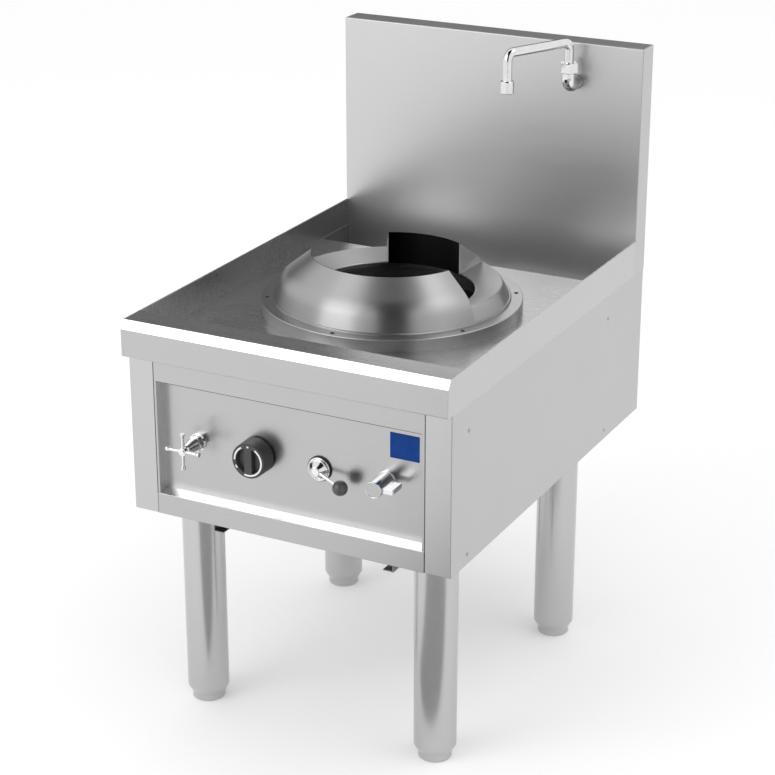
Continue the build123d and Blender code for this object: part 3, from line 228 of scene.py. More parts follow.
ROOF_NEAR, ROOF_FAR = [(-1.0, -0.20, 3.4), (0.78, 0.70, 3.4)], [(2.65, -2.80, 3.0), (0.87, -3.70, 3.0)]
FRONT_FOOT = 0.3
FLOOR_CARD_HEIGHT = 0.005
LEG_CARD_HEIGHT = 0.003
card("back_card", [(-3.4, 1.3, 0.9), (-0.2, 3.0, 0.9), (-0.2, 3.0, 3.1), (-3.4, 1.3, 3.1)], 0.16)
card("roof_card", ROOF_NEAR + ROOF_FAR, 0.02)
card("front_card", ROOF_FAR[::-1] + [(x, y, FRONT_FOOT) for x, y, _ in ROOF_FAR], 0.02)
card("leg_card", [(x, y, LEG_CARD_HEIGHT)
                  for x, y in ((-0.12, -1.60), (1.15, -1.60), (1.15, -0.50), (-0.12, -0.50))], 0.48)
card("floor_card", [(x, y, FLOOR_CARD_HEIGHT)
                    for x, y in ((-0.25, -2.04), (0.71, -3.91), (3.69, -2.38), (2.73, -0.51))], 0.6)

# %% [markdown]
# ## Shader groups
# Four effects are used by more than one finish, so each is a node group that is built once.
# *Drawn grain* stretches noise along one direction, as a belt leaves on sheet and tube. *Spun
# grain* turns the same noise into rings round an axis, as a lathe leaves on turned and spun work.
# *Handling* is the soft cloud of wiping and dust. The height group darkens and browns metal below a
# given height: partly soot near the flame, partly painted shade deep in the burner. Every group only
# puts out values, and the shader itself stays in each material.

# %% Group helper


def effect_group(name, inputs, outputs):
    """A new shader node group with named float or vector inputs and float outputs."""
    group = bpy.data.node_groups.new(name, "ShaderNodeTree")
    for label, kind, value in inputs:
        socket = group.interface.new_socket(label, in_out="INPUT", socket_type=kind)
        socket.default_value = value
    for label in outputs:
        group.interface.new_socket(label, in_out="OUTPUT", socket_type="NodeSocketFloat")
    return group, group.nodes.new("NodeGroupInput"), group.nodes.new("NodeGroupOutput")


def join(tree, source, target):
    tree.links.new(source, target)


def calc(tree, operation, *values):
    """A Math node on values or sockets; returns its output."""
    node = tree.nodes.new("ShaderNodeMath")
    node.operation = operation
    for slot, value in zip(node.inputs, values):
        if isinstance(value, (int, float)):
            slot.default_value = value
        else:
            tree.links.new(value, slot)
    return node.outputs[0]


# %% Drawn grain
drawn_grain, g_in, g_out = effect_group(
    "drawn_grain",
    [("Direction", "NodeSocketVector", (1, 1, 1)), ("Depth", "NodeSocketFloat", 0.5)],
    ["Streak", "Height"],
)
place = drawn_grain.nodes.new("ShaderNodeTexCoord")
stretch = drawn_grain.nodes.new("ShaderNodeVectorMath")
stretch.operation = "MULTIPLY"
join(drawn_grain, place.outputs["Object"], stretch.inputs[0])
join(drawn_grain, g_in.outputs["Direction"], stretch.inputs[1])
fine = drawn_grain.nodes.new("ShaderNodeTexNoise")
fine.inputs["Scale"].default_value = 1.0
fine.inputs["Detail"].default_value = 3.0
fine.inputs["Roughness"].default_value = 0.65
join(drawn_grain, stretch.outputs[0], fine.inputs["Vector"])
broad_place = drawn_grain.nodes.new("ShaderNodeVectorMath")
broad_place.operation = "SCALE"
broad_place.inputs["Scale"].default_value = 0.14
join(drawn_grain, stretch.outputs[0], broad_place.inputs[0])
broad = drawn_grain.nodes.new("ShaderNodeTexNoise")
broad.inputs["Scale"].default_value = 1.0
broad.inputs["Detail"].default_value = 2.0
join(drawn_grain, broad_place.outputs[0], broad.inputs["Vector"])
mixed = calc(drawn_grain, "ADD", calc(drawn_grain, "MULTIPLY", fine.outputs["Fac"], 0.6),
             calc(drawn_grain, "MULTIPLY", broad.outputs["Fac"], 0.4))
join(drawn_grain, mixed, g_out.inputs["Streak"])
join(drawn_grain, calc(drawn_grain, "MULTIPLY", mixed, g_in.outputs["Depth"]), g_out.inputs["Height"])
print("group", drawn_grain.name, len(drawn_grain.nodes), "nodes")

# %% Spun grain
spun_grain, g_in, g_out = effect_group(
    "spun_grain",
    [("Centre", "NodeSocketVector", (0, 0, 0)), ("Axis Z", "NodeSocketFloat", 1.0),
     ("Rings", "NodeSocketFloat", 900.0)],
    ["Streak", "Radius"],
)
place = spun_grain.nodes.new("ShaderNodeTexCoord")
centred = spun_grain.nodes.new("ShaderNodeVectorMath")
centred.operation = "SUBTRACT"
join(spun_grain, place.outputs["Object"], centred.inputs[0])
join(spun_grain, g_in.outputs["Centre"], centred.inputs[1])
parts = spun_grain.nodes.new("ShaderNodeSeparateXYZ")
join(spun_grain, centred.outputs[0], parts.inputs[0])
swap = calc(spun_grain, "SUBTRACT", 1.0, g_in.outputs["Axis Z"])
across = calc(spun_grain, "ADD", calc(spun_grain, "MULTIPLY", parts.outputs["Y"], g_in.outputs["Axis Z"]),
              calc(spun_grain, "MULTIPLY", parts.outputs["Z"], swap))
along = calc(spun_grain, "ADD", calc(spun_grain, "MULTIPLY", parts.outputs["Z"], g_in.outputs["Axis Z"]),
             calc(spun_grain, "MULTIPLY", parts.outputs["Y"], swap))
x_squared = calc(spun_grain, "MULTIPLY", parts.outputs["X"], parts.outputs["X"])
across_squared = calc(spun_grain, "MULTIPLY", across, across)
radius = calc(spun_grain, "SQRT", calc(spun_grain, "ADD", x_squared, across_squared))
angle = calc(spun_grain, "ARCTAN2", across, parts.outputs["X"])
ring_place = spun_grain.nodes.new("ShaderNodeCombineXYZ")
join(spun_grain, calc(spun_grain, "MULTIPLY", radius, g_in.outputs["Rings"]), ring_place.inputs[0])
join(spun_grain, calc(spun_grain, "MULTIPLY", along, g_in.outputs["Rings"]), ring_place.inputs[1])
join(spun_grain, calc(spun_grain, "MULTIPLY", calc(spun_grain, "SINE", angle), 1.5), ring_place.inputs[2])
rings = spun_grain.nodes.new("ShaderNodeTexNoise")
rings.inputs["Scale"].default_value = 1.0
rings.inputs["Detail"].default_value = 3.0
join(spun_grain, ring_place.outputs[0], rings.inputs["Vector"])
join(spun_grain, rings.outputs["Fac"], g_out.inputs["Streak"])
join(spun_grain, radius, g_out.inputs["Radius"])
print("group", spun_grain.name, len(spun_grain.nodes), "nodes")

# %% Handling
handling, g_in, g_out = effect_group(
    "handling",
    [("Size", "NodeSocketFloat", 9.0), ("Amount", "NodeSocketFloat", 0.5)],
    ["Cloud", "Speck"],
)
place = handling.nodes.new("ShaderNodeTexCoord")
cloud = handling.nodes.new("ShaderNodeTexNoise")
cloud.inputs["Detail"].default_value = 5.0
cloud.inputs["Roughness"].default_value = 0.6
join(handling, place.outputs["Object"], cloud.inputs["Vector"])
join(handling, g_in.outputs["Size"], cloud.inputs["Scale"])
soft = handling.nodes.new("ShaderNodeMapRange")
soft.inputs["From Min"].default_value = 0.32
soft.inputs["From Max"].default_value = 0.68
join(handling, cloud.outputs["Fac"], soft.inputs["Value"])
amount = calc(handling, "MULTIPLY", soft.outputs["Result"], g_in.outputs["Amount"])
join(handling, amount, g_out.inputs["Cloud"])
speck = handling.nodes.new("ShaderNodeTexNoise")
speck.inputs["Scale"].default_value = 420.0
speck.inputs["Detail"].default_value = 2.0
join(handling, place.outputs["Object"], speck.inputs["Vector"])
join(handling, speck.outputs["Fac"], g_out.inputs["Speck"])
print("group", handling.name, len(handling.nodes), "nodes")

# %% Soot and painted shade by height
soot_and_shade_by_height, g_in, g_out = effect_group(
    "soot_and_shade_by_height",
    [("Height", "NodeSocketFloat", 0.7), ("Reach", "NodeSocketFloat", 0.12)],
    ["Stain"],
)
place = soot_and_shade_by_height.nodes.new("ShaderNodeTexCoord")
parts = soot_and_shade_by_height.nodes.new("ShaderNodeSeparateXYZ")
join(soot_and_shade_by_height, place.outputs["Object"], parts.inputs[0])
lick = soot_and_shade_by_height.nodes.new("ShaderNodeTexNoise")
lick.inputs["Scale"].default_value = 14.0
lick.inputs["Detail"].default_value = 4.0
join(soot_and_shade_by_height, place.outputs["Object"], lick.inputs["Vector"])
below = calc(soot_and_shade_by_height, "DIVIDE", calc(soot_and_shade_by_height, "SUBTRACT", g_in.outputs["Height"], parts.outputs["Z"]),
             g_in.outputs["Reach"])
ragged = calc(soot_and_shade_by_height, "ADD", below, calc(soot_and_shade_by_height, "SUBTRACT", lick.outputs["Fac"], 0.5))
clamped = soot_and_shade_by_height.nodes.new("ShaderNodeClamp")
join(soot_and_shade_by_height, ragged, clamped.inputs["Value"])
join(soot_and_shade_by_height, clamped.outputs[0], g_out.inputs["Stain"])
print("group", soot_and_shade_by_height.name, len(soot_and_shade_by_height.nodes), "nodes")

# %% [markdown]
# ## Steel finishes
# Belt-ground stainless sheet shows three things up close: fine scratches in one direction, a soft
# cloud where it is wiped, and edges that catch the light because no fold is perfectly sharp. The
# scratches go to roughness and to a very small bump, and the edge light comes from the Bevel node,
# which rounds the shading of a sharp fold and leaves the mesh alone.

# %% Steel maker
SPUN_SPREAD = 0.07
# Near black for the inside of the ring: partly soot, partly painted shade.
SOOT_AND_SHADE_BLACK = (0.012, 0.012, 0.012)
QUARTER_TURN = 0.25


def place_group(tree, group, **values):
    """Put a shader group into a material and set its inputs by name."""
    node = tree.nodes.new("ShaderNodeGroup")
    node.node_tree = group
    for label, value in values.items():
        node.inputs[label.replace("_", " ")].default_value = value
    return node


def map_value(tree, source, low, high):
    """Spread a 0 to 1 value between two levels."""
    node = tree.nodes.new("ShaderNodeMapRange")
    node.inputs["To Min"].default_value = low
    node.inputs["To Max"].default_value = high
    tree.links.new(source, node.inputs["Value"])
    return node.outputs["Result"]


def mix_colours(tree, factor, first, second):
    """Blend two colours, each a tuple or a socket."""
    node = tree.nodes.new("ShaderNodeMix")
    node.data_type = "RGBA"
    tree.links.new(factor, node.inputs["Factor"])
    for label, value in (("A", first), ("B", second)):
        slot = [s for s in node.inputs if s.name == label and s.type == "RGBA"][0]
        if isinstance(value, tuple):
            slot.default_value = (*value, 1)
        else:
            tree.links.new(value, slot)
    return [s for s in node.outputs if s.type == "RGBA"][0]


def new_finish(name):
    material = bpy.data.materials.new(name)
    material.use_nodes = True
    return material, material.node_tree, material.node_tree.nodes["Principled BSDF"]


def add_relief(tree, shader, height, strength, distance, edge=0.0):
    """Bump from a height, over a rounded edge normal if an edge radius is given."""
    bump = tree.nodes.new("ShaderNodeBump")
    bump.inputs["Strength"].default_value = strength
    bump.inputs["Distance"].default_value = distance
    tree.links.new(height, bump.inputs["Height"])
    if edge:
        rounded = tree.nodes.new("ShaderNodeBevel")
        rounded.samples = 4
        rounded.inputs["Radius"].default_value = edge
        tree.links.new(rounded.outputs[0], bump.inputs["Normal"])
    tree.links.new(bump.outputs[0], shader.inputs["Normal"])


def drawn_steel(name, colour, direction, rough, spread=0.08, edge=0.0012, cloud=0.5):
    """Belt-ground steel: scratches along one direction, a wiped cloud and soft folds."""
    material, tree, shader = new_finish(name)
    shader.inputs["Metallic"].default_value = 1.0
    grain = place_group(tree, drawn_grain, Direction=direction, Depth=1.0)
    wiped = place_group(tree, handling, Size=6.0, Amount=cloud)
    dull = tuple(c * 0.93 for c in colour)
    tone = mix_colours(tree, grain.outputs["Streak"], dull, colour)
    shade = mix_colours(tree, wiped.outputs["Cloud"], tone, tuple(c * 0.96 for c in colour))
    tree.links.new(shade, shader.inputs["Base Color"])
    level = map_value(tree, grain.outputs["Streak"], rough - spread, rough + spread)
    dulled = calc(tree, "MULTIPLY", wiped.outputs["Cloud"], 0.06)
    tree.links.new(calc(tree, "ADD", level, dulled), shader.inputs["Roughness"])
    add_relief(tree, shader, grain.outputs["Height"], 0.10, 0.0002, edge)
    return material


def spun_steel(name, colour, rough, centre, axis_z, rings=900.0, edge=0.0008, smear=0.0, soot_and_shade=0.0):
    """Lathe-finished metal: rings round an axis, which smear a reflection across themselves.

    Inside a given radius the metal is near black, partly soot from the flame and partly painted shade of the
    ring's shaded inside.
    """
    material, tree, shader = new_finish(name)
    shader.inputs["Metallic"].default_value = 1.0
    if smear:
        lay = tree.nodes.new("ShaderNodeTangent")
        lay.direction_type = "RADIAL"
        lay.axis = "Z"
        tree.links.new(lay.outputs[0], shader.inputs["Tangent"])
        shader.inputs["Anisotropic"].default_value = smear
        shader.inputs["Anisotropic Rotation"].default_value = QUARTER_TURN
    grain = place_group(tree, spun_grain, Centre=centre, Axis_Z=float(axis_z), Rings=rings)
    wiped = place_group(tree, handling, Size=14.0, Amount=0.5)
    tone = mix_colours(tree, grain.outputs["Streak"], tuple(c * 0.9 for c in colour), colour)
    shade = mix_colours(tree, wiped.outputs["Cloud"], tone, tuple(c * 0.94 for c in colour))
    if soot_and_shade:
        inside = calc(tree, "LESS_THAN", grain.outputs["Radius"], soot_and_shade)
        shade = mix_colours(tree, inside, shade, SOOT_AND_SHADE_BLACK)
    tree.links.new(shade, shader.inputs["Base Color"])
    level = map_value(tree, grain.outputs["Streak"], rough - SPUN_SPREAD, rough + SPUN_SPREAD)
    tree.links.new(level, shader.inputs["Roughness"])
    add_relief(tree, shader, grain.outputs["Streak"], 0.08, 0.0002, edge)
    return material


# %% Mix the steels
STEEL = (0.53, 0.53, 0.535)
RING_OPENING_RADIUS = 0.1524
burner_centre = (0.0, -0.0145, 0.0)
worktop_steel = drawn_steel("worktop_steel", (0.56, 0.56, 0.565), (14, 900, 900), 0.27)
splash_steel = drawn_steel("splashback_steel", (0.57, 0.57, 0.575), (14, 900, 900), 0.36)
side_steel = drawn_steel("side_panel_steel", STEEL, (900, 14, 900), 0.30)
front_steel = drawn_steel("front_steel", (0.475, 0.475, 0.48), (14, 900, 900), 0.28)
leg_steel = spun_steel("leg_tube_steel", (0.56, 0.56, 0.565), 0.24, (0, 0, 0), 1, 300.0)
collar_steel = spun_steel("collar_steel", (0.50, 0.50, 0.505), 0.30, burner_centre, 1, smear=0.5)
# Within the opening radius the ring is painted near black: partly soot, partly painted shade of its shaded
# inside.
ring_steel = spun_steel("ring_steel", (0.46, 0.46, 0.465), 0.38, burner_centre, 1, smear=0.85,
                        soot_and_shade=RING_OPENING_RADIUS)
frame_steel = drawn_steel("frame_steel", (0.34, 0.34, 0.35), (14, 300, 300), 0.45, cloud=0.9)
tray_steel = drawn_steel("tray_steel", (0.45, 0.45, 0.45), (500, 14, 500), 0.34)
zinc_steel = spun_steel("zinc_steel", (0.5, 0.5, 0.5), 0.30, burner_centre, 1, 200.0, 0.0004)
print(len([m for m in bpy.data.materials if "steel" in m.name]), "steels")

# %% [markdown]
# ## Chrome, plastic, brass and copper
# Chrome plate is nearly a mirror, so its only detail is a faint smear and the rounded edges. The
# phenolic knob is a dull dark plastic with a fine moulded tooth. Brass valve bodies and copper
# pipe sit behind the panel, with a duller skin where air has reached them.

# %% Plated and moulded finishes


def plated(name, colour, rough):
    """Chrome plate with a smear of handling and softened edges."""
    material, tree, shader = new_finish(name)
    shader.inputs["Metallic"].default_value = 1.0
    wiped = place_group(tree, handling, Size=60.0, Amount=1.0)
    tree.links.new(mix_colours(tree, wiped.outputs["Cloud"], colour, tuple(c * 0.93 for c in colour)),
                   shader.inputs["Base Color"])
    tree.links.new(map_value(tree, wiped.outputs["Cloud"], rough, rough + 0.05), shader.inputs["Roughness"])
    add_relief(tree, shader, wiped.outputs["Speck"], 0.02, 0.0001, 0.0006)
    return material


def moulded(name, colour, rough, tooth=0.25, edge=0.0005):
    """Moulded plastic, rubber or enamel: a fine tooth and slight blotches."""
    material, tree, shader = new_finish(name)
    wiped = place_group(tree, handling, Size=45.0, Amount=1.0)
    pale = tuple(min(1.0, c * 1.25 + 0.004) for c in colour)
    tree.links.new(mix_colours(tree, wiped.outputs["Cloud"], colour, pale), shader.inputs["Base Color"])
    tree.links.new(map_value(tree, wiped.outputs["Cloud"], rough, rough + 0.1), shader.inputs["Roughness"])
    add_relief(tree, shader, wiped.outputs["Speck"], tooth, 0.0002, edge)
    return material


def aged_metal(name, colour, aged, rough):
    """Brass or copper whose skin has dulled in clouds."""
    material, tree, shader = new_finish(name)
    shader.inputs["Metallic"].default_value = 1.0
    wiped = place_group(tree, handling, Size=30.0, Amount=0.9)
    tree.links.new(mix_colours(tree, wiped.outputs["Cloud"], colour, aged), shader.inputs["Base Color"])
    tree.links.new(map_value(tree, wiped.outputs["Cloud"], rough, rough + 0.2), shader.inputs["Roughness"])
    add_relief(tree, shader, wiped.outputs["Speck"], 0.1, 0.0002, 0.0005)
    return material


chrome = plated("chrome_plate", (0.78, 0.78, 0.79), 0.07)
knob_black = moulded("knob_phenolic", (0.035, 0.036, 0.038), 0.38)
ball_black = moulded("lever_ball_phenolic", (0.06, 0.06, 0.062), 0.16, 0.04)
gasket_rubber = moulded("gasket_rubber", (0.012, 0.012, 0.012), 0.6)
plate_enamel = moulded("blue_plate_enamel", (0.003, 0.040, 0.21), 0.45, 0.05, 0.0004)
plate_enamel.node_tree.nodes["Principled BSDF"].inputs["Specular IOR Level"].default_value = 0.12
mark_white = moulded("knob_mark_paint", (0.75, 0.75, 0.75), 0.5, 0.1)
brass = aged_metal("valve_brass", (0.62, 0.44, 0.16), (0.38, 0.25, 0.10), 0.25)
copper = aged_metal("pipe_copper", (0.66, 0.31, 0.18), (0.35, 0.17, 0.10), 0.28)
print("plated and moulded finishes:", 8)

# %% [markdown]
# ## Burner finishes
# Inside the ring everything has met the flame. Cast iron is rough and black, the firebrick is a
# pale clay under soot, and the steel chamber is browned. Each is darkened below a given height, so
# it is darker towards the bottom: partly soot and partly painted shade deep in the ring.

# %% Iron, brick and chamber steel


def sooty_and_shaded(name, clean, burnt_and_shaded, metallic, rough, height, reach, tooth):
    """A surface near the flame: a clean colour darkened below a given height, partly soot and partly painted
    shade.
    """
    material, tree, shader = new_finish(name)
    shader.inputs["Metallic"].default_value = metallic
    soot_and_shade_mask = place_group(tree, soot_and_shade_by_height, Height=height, Reach=reach)
    wiped = place_group(tree, handling, Size=55.0, Amount=1.0)
    tone = mix_colours(tree, soot_and_shade_mask.outputs["Stain"], clean, burnt_and_shaded)
    shade = mix_colours(tree, wiped.outputs["Cloud"], tone, tuple(c * 0.6 for c in burnt_and_shaded))
    tree.links.new(shade, shader.inputs["Base Color"])
    tree.links.new(map_value(tree, wiped.outputs["Cloud"], rough, min(1.0, rough + 0.15)),
                   shader.inputs["Roughness"])
    add_relief(tree, shader, wiped.outputs["Speck"], tooth, 0.0008)
    return material


# The dark burnt colours are partly soot and partly painted shade of the burner's shaded inside.
cast_iron = sooty_and_shaded("burner_cast_iron", (0.05, 0.048, 0.046), (0.022, 0.021, 0.02), 0.6, 0.55, 0.60, 0.10, 0.5)
firebrick = sooty_and_shaded("firebrick_soot_and_shade", (0.10, 0.075, 0.055), (0.02, 0.017, 0.015), 0.0, 0.85, 0.74, 0.12, 0.8)
chamber_steel = sooty_and_shaded("chamber_steel", (0.13, 0.12, 0.11), (0.05, 0.04, 0.035), 1.0, 0.42, 0.72, 0.15, 0.2)
print("burner finishes: 3")

# %% [markdown]
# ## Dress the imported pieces
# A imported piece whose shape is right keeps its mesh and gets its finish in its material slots.
# Only the pieces that need finer forms are made again further down.

# %% Assign the finishes
finishes = {
    worktop_steel: ["worktop_deck"],
    splash_steel: ["splashback", "splashback_cover", "rear_panel"],
    side_steel: ["left_side_panel", "right_side_panel"],
    front_steel: ["control_panel", "front_valance", "drain_strainer"],
    collar_steel: ["ring_collar"],
    ring_steel: ["wok_ring"],
    frame_steel: ["side_rails", "cross_rails", "burner_support", "tray_runners", "drain_pipe"],
    tray_steel: ["drip_tray"],
    zinc_steel: ["leg_bolts", "side_panel_screws", "collar_screws", "gas_spindle"],
    chamber_steel: ["combustion_chamber"],
    firebrick: ["firebrick_lining"],
    cast_iron: ["burner_head", "mixing_tube"],
    brass: ["gas_injector", "gas_valve", "regulator_valve", "cross_valve", "tap_valve"],
    copper: ["gas_supply_pipe", "gas_link_pipe", "burner_feed_pipe", "pilot_burner", "thermocouple",
             "water_supply_pipe", "water_link_pipe", "faucet_feed_pipe"],
    chrome: ["lever_base", "ball_lever", "cross_bonnet", "cross_handle", "tap_collar", "tap_handle",
             "faucet_elbow", "faucet_nut", "swivel_spout", "spout_nozzle"],
    gasket_rubber: ["lever_gasket"],
    knob_black: ["gas_knob"],
    plate_enamel: ["name_plate"],
    leg_steel: [n for n in nodes if n.startswith(("leg_", "foot_")) and n != "leg_bolts"],
}
dressed = 0
for material, names in finishes.items():
    for name in names:
        nodes[name].data.materials.clear()
        nodes[name].data.materials.append(material)
        dressed += 1
print(dressed, "packed pieces dressed of", len(nodes))

# %% [markdown]
# ## Nose, sill, cheeks and apron of the front
# A mesh can carry more than one finish, each in its own material slot. The real front is all one
# steel, and the photograph's white stripes are only reflections. A few lamps can't repeat that
# studio, so the chamfered nose, the sill and the cheeks of the recess get a brighter steel as a
# stand-in. The worktop's apron takes the front's steel, so that it matches the panel below it. The
# faces are found by the way they look and by where they lie.

# %% Finish the faces of the front
FRONT_OF_APRON = -0.43
RECESS_FRONT, RECESS_BACK = -0.4205, -0.3995


def second_finish(name, material, belongs):
    """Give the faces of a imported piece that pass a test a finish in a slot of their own."""
    mesh = nodes[name].data
    mesh.materials.append(material)
    slot = len(mesh.materials) - 1
    found = [face for face in mesh.polygons if belongs(face.normal, face.center)]
    for face in found:
        face.material_index = slot
    print(name, material.name, len(found), "faces")


# Painted reflection: a much brighter steel on the nose, the sill and the cheeks of the recess stands in for
# the white stripes that bright lamps would mirror there.
painted_reflection_steel = drawn_steel("painted_reflection_steel", (0.93, 0.93, 0.935), (14, 900, 900), 0.30)
SILL_FALL = 0.008
sill_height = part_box("front_valance")[1][2] - SILL_FALL
second_finish("front_valance", painted_reflection_steel, lambda n, c: n.z > 0.9 and c.z > sill_height)
second_finish("control_panel", painted_reflection_steel,
              lambda n, c: abs(n.x) > 0.9 and RECESS_FRONT < c.y < RECESS_BACK)
second_finish("worktop_deck", painted_reflection_steel,
              lambda n, c: n.y < -0.5 and n.z > 0.3 and c.y < FRONT_OF_APRON)
second_finish("worktop_deck", front_steel, lambda n, c: n.y < -0.9 and c.y < FRONT_OF_APRON)

# %% [markdown]
# ## Tools for the small pieces
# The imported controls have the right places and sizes, but close up they need what a lathe, a die or
# a paint pad leaves behind. They are made as meshes of their own. Most small fittings on a range
# are turned, so one lathe function does most of the work. It takes a profile of radius and
# distance along an axis, which is how a turner reads a drawing. Edges sharper than a set angle stay
# crisp, and everything else is shaded smooth.

# %% Lathe and finishing helpers
CRISP = math.radians(32)


def lathe(bm, base, axis, profile, sides=56, material=0):
    """Turn a profile of (radius, distance along the axis) round an axis; a zero radius closes it."""
    turn = Vector(axis).to_track_quat("Z", "Y")
    rows = []
    for radius, reach in profile:
        count = 1 if radius == 0 else sides
        angles = [2 * math.pi * k / sides for k in range(count)]
        rows.append([
            bm.verts.new(Vector(base) + turn @ Vector((radius * math.cos(a), radius * math.sin(a), reach)))
            for a in angles
        ])
    for low, high in zip(rows, rows[1:]):
        for k in range(sides):
            n = (k + 1) % sides
            ring = [low[k % len(low)], low[n % len(low)], high[n % len(high)], high[k % len(high)]]
            corners = list(dict.fromkeys(ring))
            if len(corners) > 2:
                bm.faces.new(corners).material_index = material


def ball(bm, centre, radius, material=0, rows=24, sides=48):
    """A closed sphere made as a lathe profile."""
    profile = [(0 if k in (0, rows) else radius * math.sin(math.pi * k / rows),
                -radius * math.cos(math.pi * k / rows)) for k in range(rows + 1)]
    lathe(bm, centre, (0, 0, 1), profile, sides, material)


def finish_piece(name, bm, materials, body, replaced=()):
    """Close a mesh, shade it, and put it on its body at the origin."""
    bmesh.ops.remove_doubles(bm, verts=bm.verts, dist=1e-7)
    bmesh.ops.recalc_face_normals(bm, faces=bm.faces)
    for face in bm.faces:
        face.smooth = True
    for edge in bm.edges:
        if len(edge.link_faces) == 2 and edge.calc_face_angle() > CRISP:
            edge.smooth = False
    mesh = bpy.data.meshes.new(name)
    bm.to_mesh(mesh)
    bm.free()
    for material in materials:
        mesh.materials.append(material)
    obj = bpy.data.objects.new(name, mesh)
    bpy.context.scene.collection.objects.link(obj)
    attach(obj, body)
    if replaced:
        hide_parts(*replaced)
    print(name, "faces", len(mesh.polygons), "on", body)
    return obj


# %% [markdown]
# ## Painted shade in the joint lines
# The photograph shows a thin dark line in each upright joint of the front and a softer one along
# the fold over the recess. The imported gaps are two tenths of a millimetre, much too fine to be
# seen at this distance. A flat dark bar along each line, a hair proud of the sheet, is painted
# shade: it stands in for the shade in each joint and under the fold. It is a drawing aid and no
# part of the real range.

# %% Draw the joint lines
# Painted shade: near-black bars along the upright joints of the front and under the fold over the recess.
joint_shade = moulded("joint_shade", (0.045, 0.045, 0.046), 0.5, 0.1)
LINE_WIDTH, FOLD_LINE_WIDTH = 0.0014, 0.0008
LINE_PROUD = 0.00006
JOINT_GAP = 0.0002
FOOT_CLEAR, APRON_CLEAR = 0.0005, 0.0003
FOLD_HEIGHT, FOLD_REACH = 0.6868, 0.268
panel_low, panel_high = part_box("control_panel")
seam_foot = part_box("left_side_panel")[0][2] + FOOT_CLEAR
deck_mesh = nodes["worktop_deck"].data
apron_foot = min(vert.co.z for vert in deck_mesh.vertices if vert.co.y < FRONT_OF_APRON)
seam_top = apron_foot - APRON_CLEAR
seam_edge = panel_high[0] + JOINT_GAP


def bar(bm, low, high):
    """A box between two corners."""
    made = bmesh.ops.create_cube(bm, size=1.0)["verts"]
    for vert in made:
        for axis in range(3):
            vert.co[axis] = low[axis] if vert.co[axis] < 0 else high[axis]


lines = bmesh.new()
front, back = panel_low[1] - LINE_PROUD, panel_low[1] + LINE_PROUD
bar(lines, (-seam_edge - LINE_WIDTH, front, seam_foot), (-seam_edge, back, seam_top))
bar(lines, (seam_edge, front, seam_foot), (seam_edge + LINE_WIDTH, back, seam_top))
bar(lines, (-FOLD_REACH, front, FOLD_HEIGHT), (FOLD_REACH, back, FOLD_HEIGHT + FOLD_LINE_WIDTH))
finish_piece("seam_beads", lines, [joint_shade], "base")

# %% [markdown]
# ## The gas knob's marks
# The knob shows the flame setting with white bars printed on its face: a short dash at the top, a
# long sweep down the right side, and two shorter ones on the left. They sit in the flat ring
# between the rim and the dished middle. A texture would need a mapping on a curved face, so they
# are made as thin raised bars of paint, and they turn with the knob.

# %% Knob marks
knob_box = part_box("gas_knob")
knob_face = knob_box[0][1]
knob_centre = ((knob_box[0][0] + knob_box[1][0]) / 2, (knob_box[0][2] + knob_box[1][2]) / 2)
MARK_INNER, MARK_OUTER = 0.0257, 0.0289
MARK_PAINT, MARK_SUNK = 0.00015, 0.0002
mark_sweeps = ((-4, 4), (32, 196), (234, 246), (268, 332))
marks = bmesh.new()
for first, last in mark_sweeps:
    steps = max(2, round((last - first) / 4))
    rows = []
    for k in range(steps + 1):
        turn = math.radians(first + (last - first) * k / steps)
        rows.append([
            marks.verts.new((knob_centre[0] + r * math.sin(turn), y, knob_centre[1] + r * math.cos(turn)))
            for r, y in ((MARK_INNER, knob_face + MARK_SUNK), (MARK_INNER, knob_face - MARK_PAINT),
                         (MARK_OUTER, knob_face - MARK_PAINT), (MARK_OUTER, knob_face + MARK_SUNK))
        ])
    for a, b in zip(rows, rows[1:]):
        for k in range(4):
            marks.faces.new((a[k], a[(k + 1) % 4], b[(k + 1) % 4], b[k]))
    marks.faces.new(rows[0])
    marks.faces.new(list(reversed(rows[-1])))
finish_piece("knob_marks", marks, [mark_white], "gas_knob")

# %% [markdown]
# ## The ball lever
# The quarter-turn lever is a chromed cone with flats for a key, a small cap in front, a thin rod
# and a moulded ball. The cone and the cap are turned about the valve's axis. The rod and ball are
# turned about the rod's own line, which is bent down and forward so that a hand clears the panel.
# The flats come from turning the cone's middle part with only twelve sides.

# %% Ball lever
lever_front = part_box("lever_base")[0][1]
LEVER_X, LEVER_Z = 0.056, 0.573
ROD_ROOT_OUT = 0.0064
BALL_RADIUS = 0.014
lever_axis = (LEVER_X, lever_front, LEVER_Z)
ball_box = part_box("ball_lever")
ball_centre = Vector((ball_box[1][0] - BALL_RADIUS, ball_box[0][1] + BALL_RADIUS,
                      ball_box[0][2] + BALL_RADIUS))
print("ball centre", tuple(round(v, 4) for v in ball_centre))
lever = bmesh.new()
lathe(lever, lever_axis, (0, -1, 0), [
    (0, -0.0220), (0.0040, -0.0220), (0.0040, 0.0004), (0.0190, 0.0004), (0.0195, 0.0009), (0.0195, 0.0024),
    (0.0188, 0.0030), (0, 0.0030)])
lathe(lever, lever_axis, (0, -1, 0), [(0, 0.0028), (0.0182, 0.0028), (0.0092, 0.0124), (0, 0.0124)], 12)
lathe(lever, lever_axis, (0, -1, 0), [
    (0, 0.0120), (0.0085, 0.0120), (0.0085, 0.0132), (0.0080, 0.0137), (0.0066, 0.0139), (0.0063, 0.0134),
    (0, 0.0134)])
rod_root = Vector((LEVER_X, lever_front - ROD_ROOT_OUT, LEVER_Z))
rod_line = ball_centre - rod_root
neck = rod_line.length - BALL_RADIUS
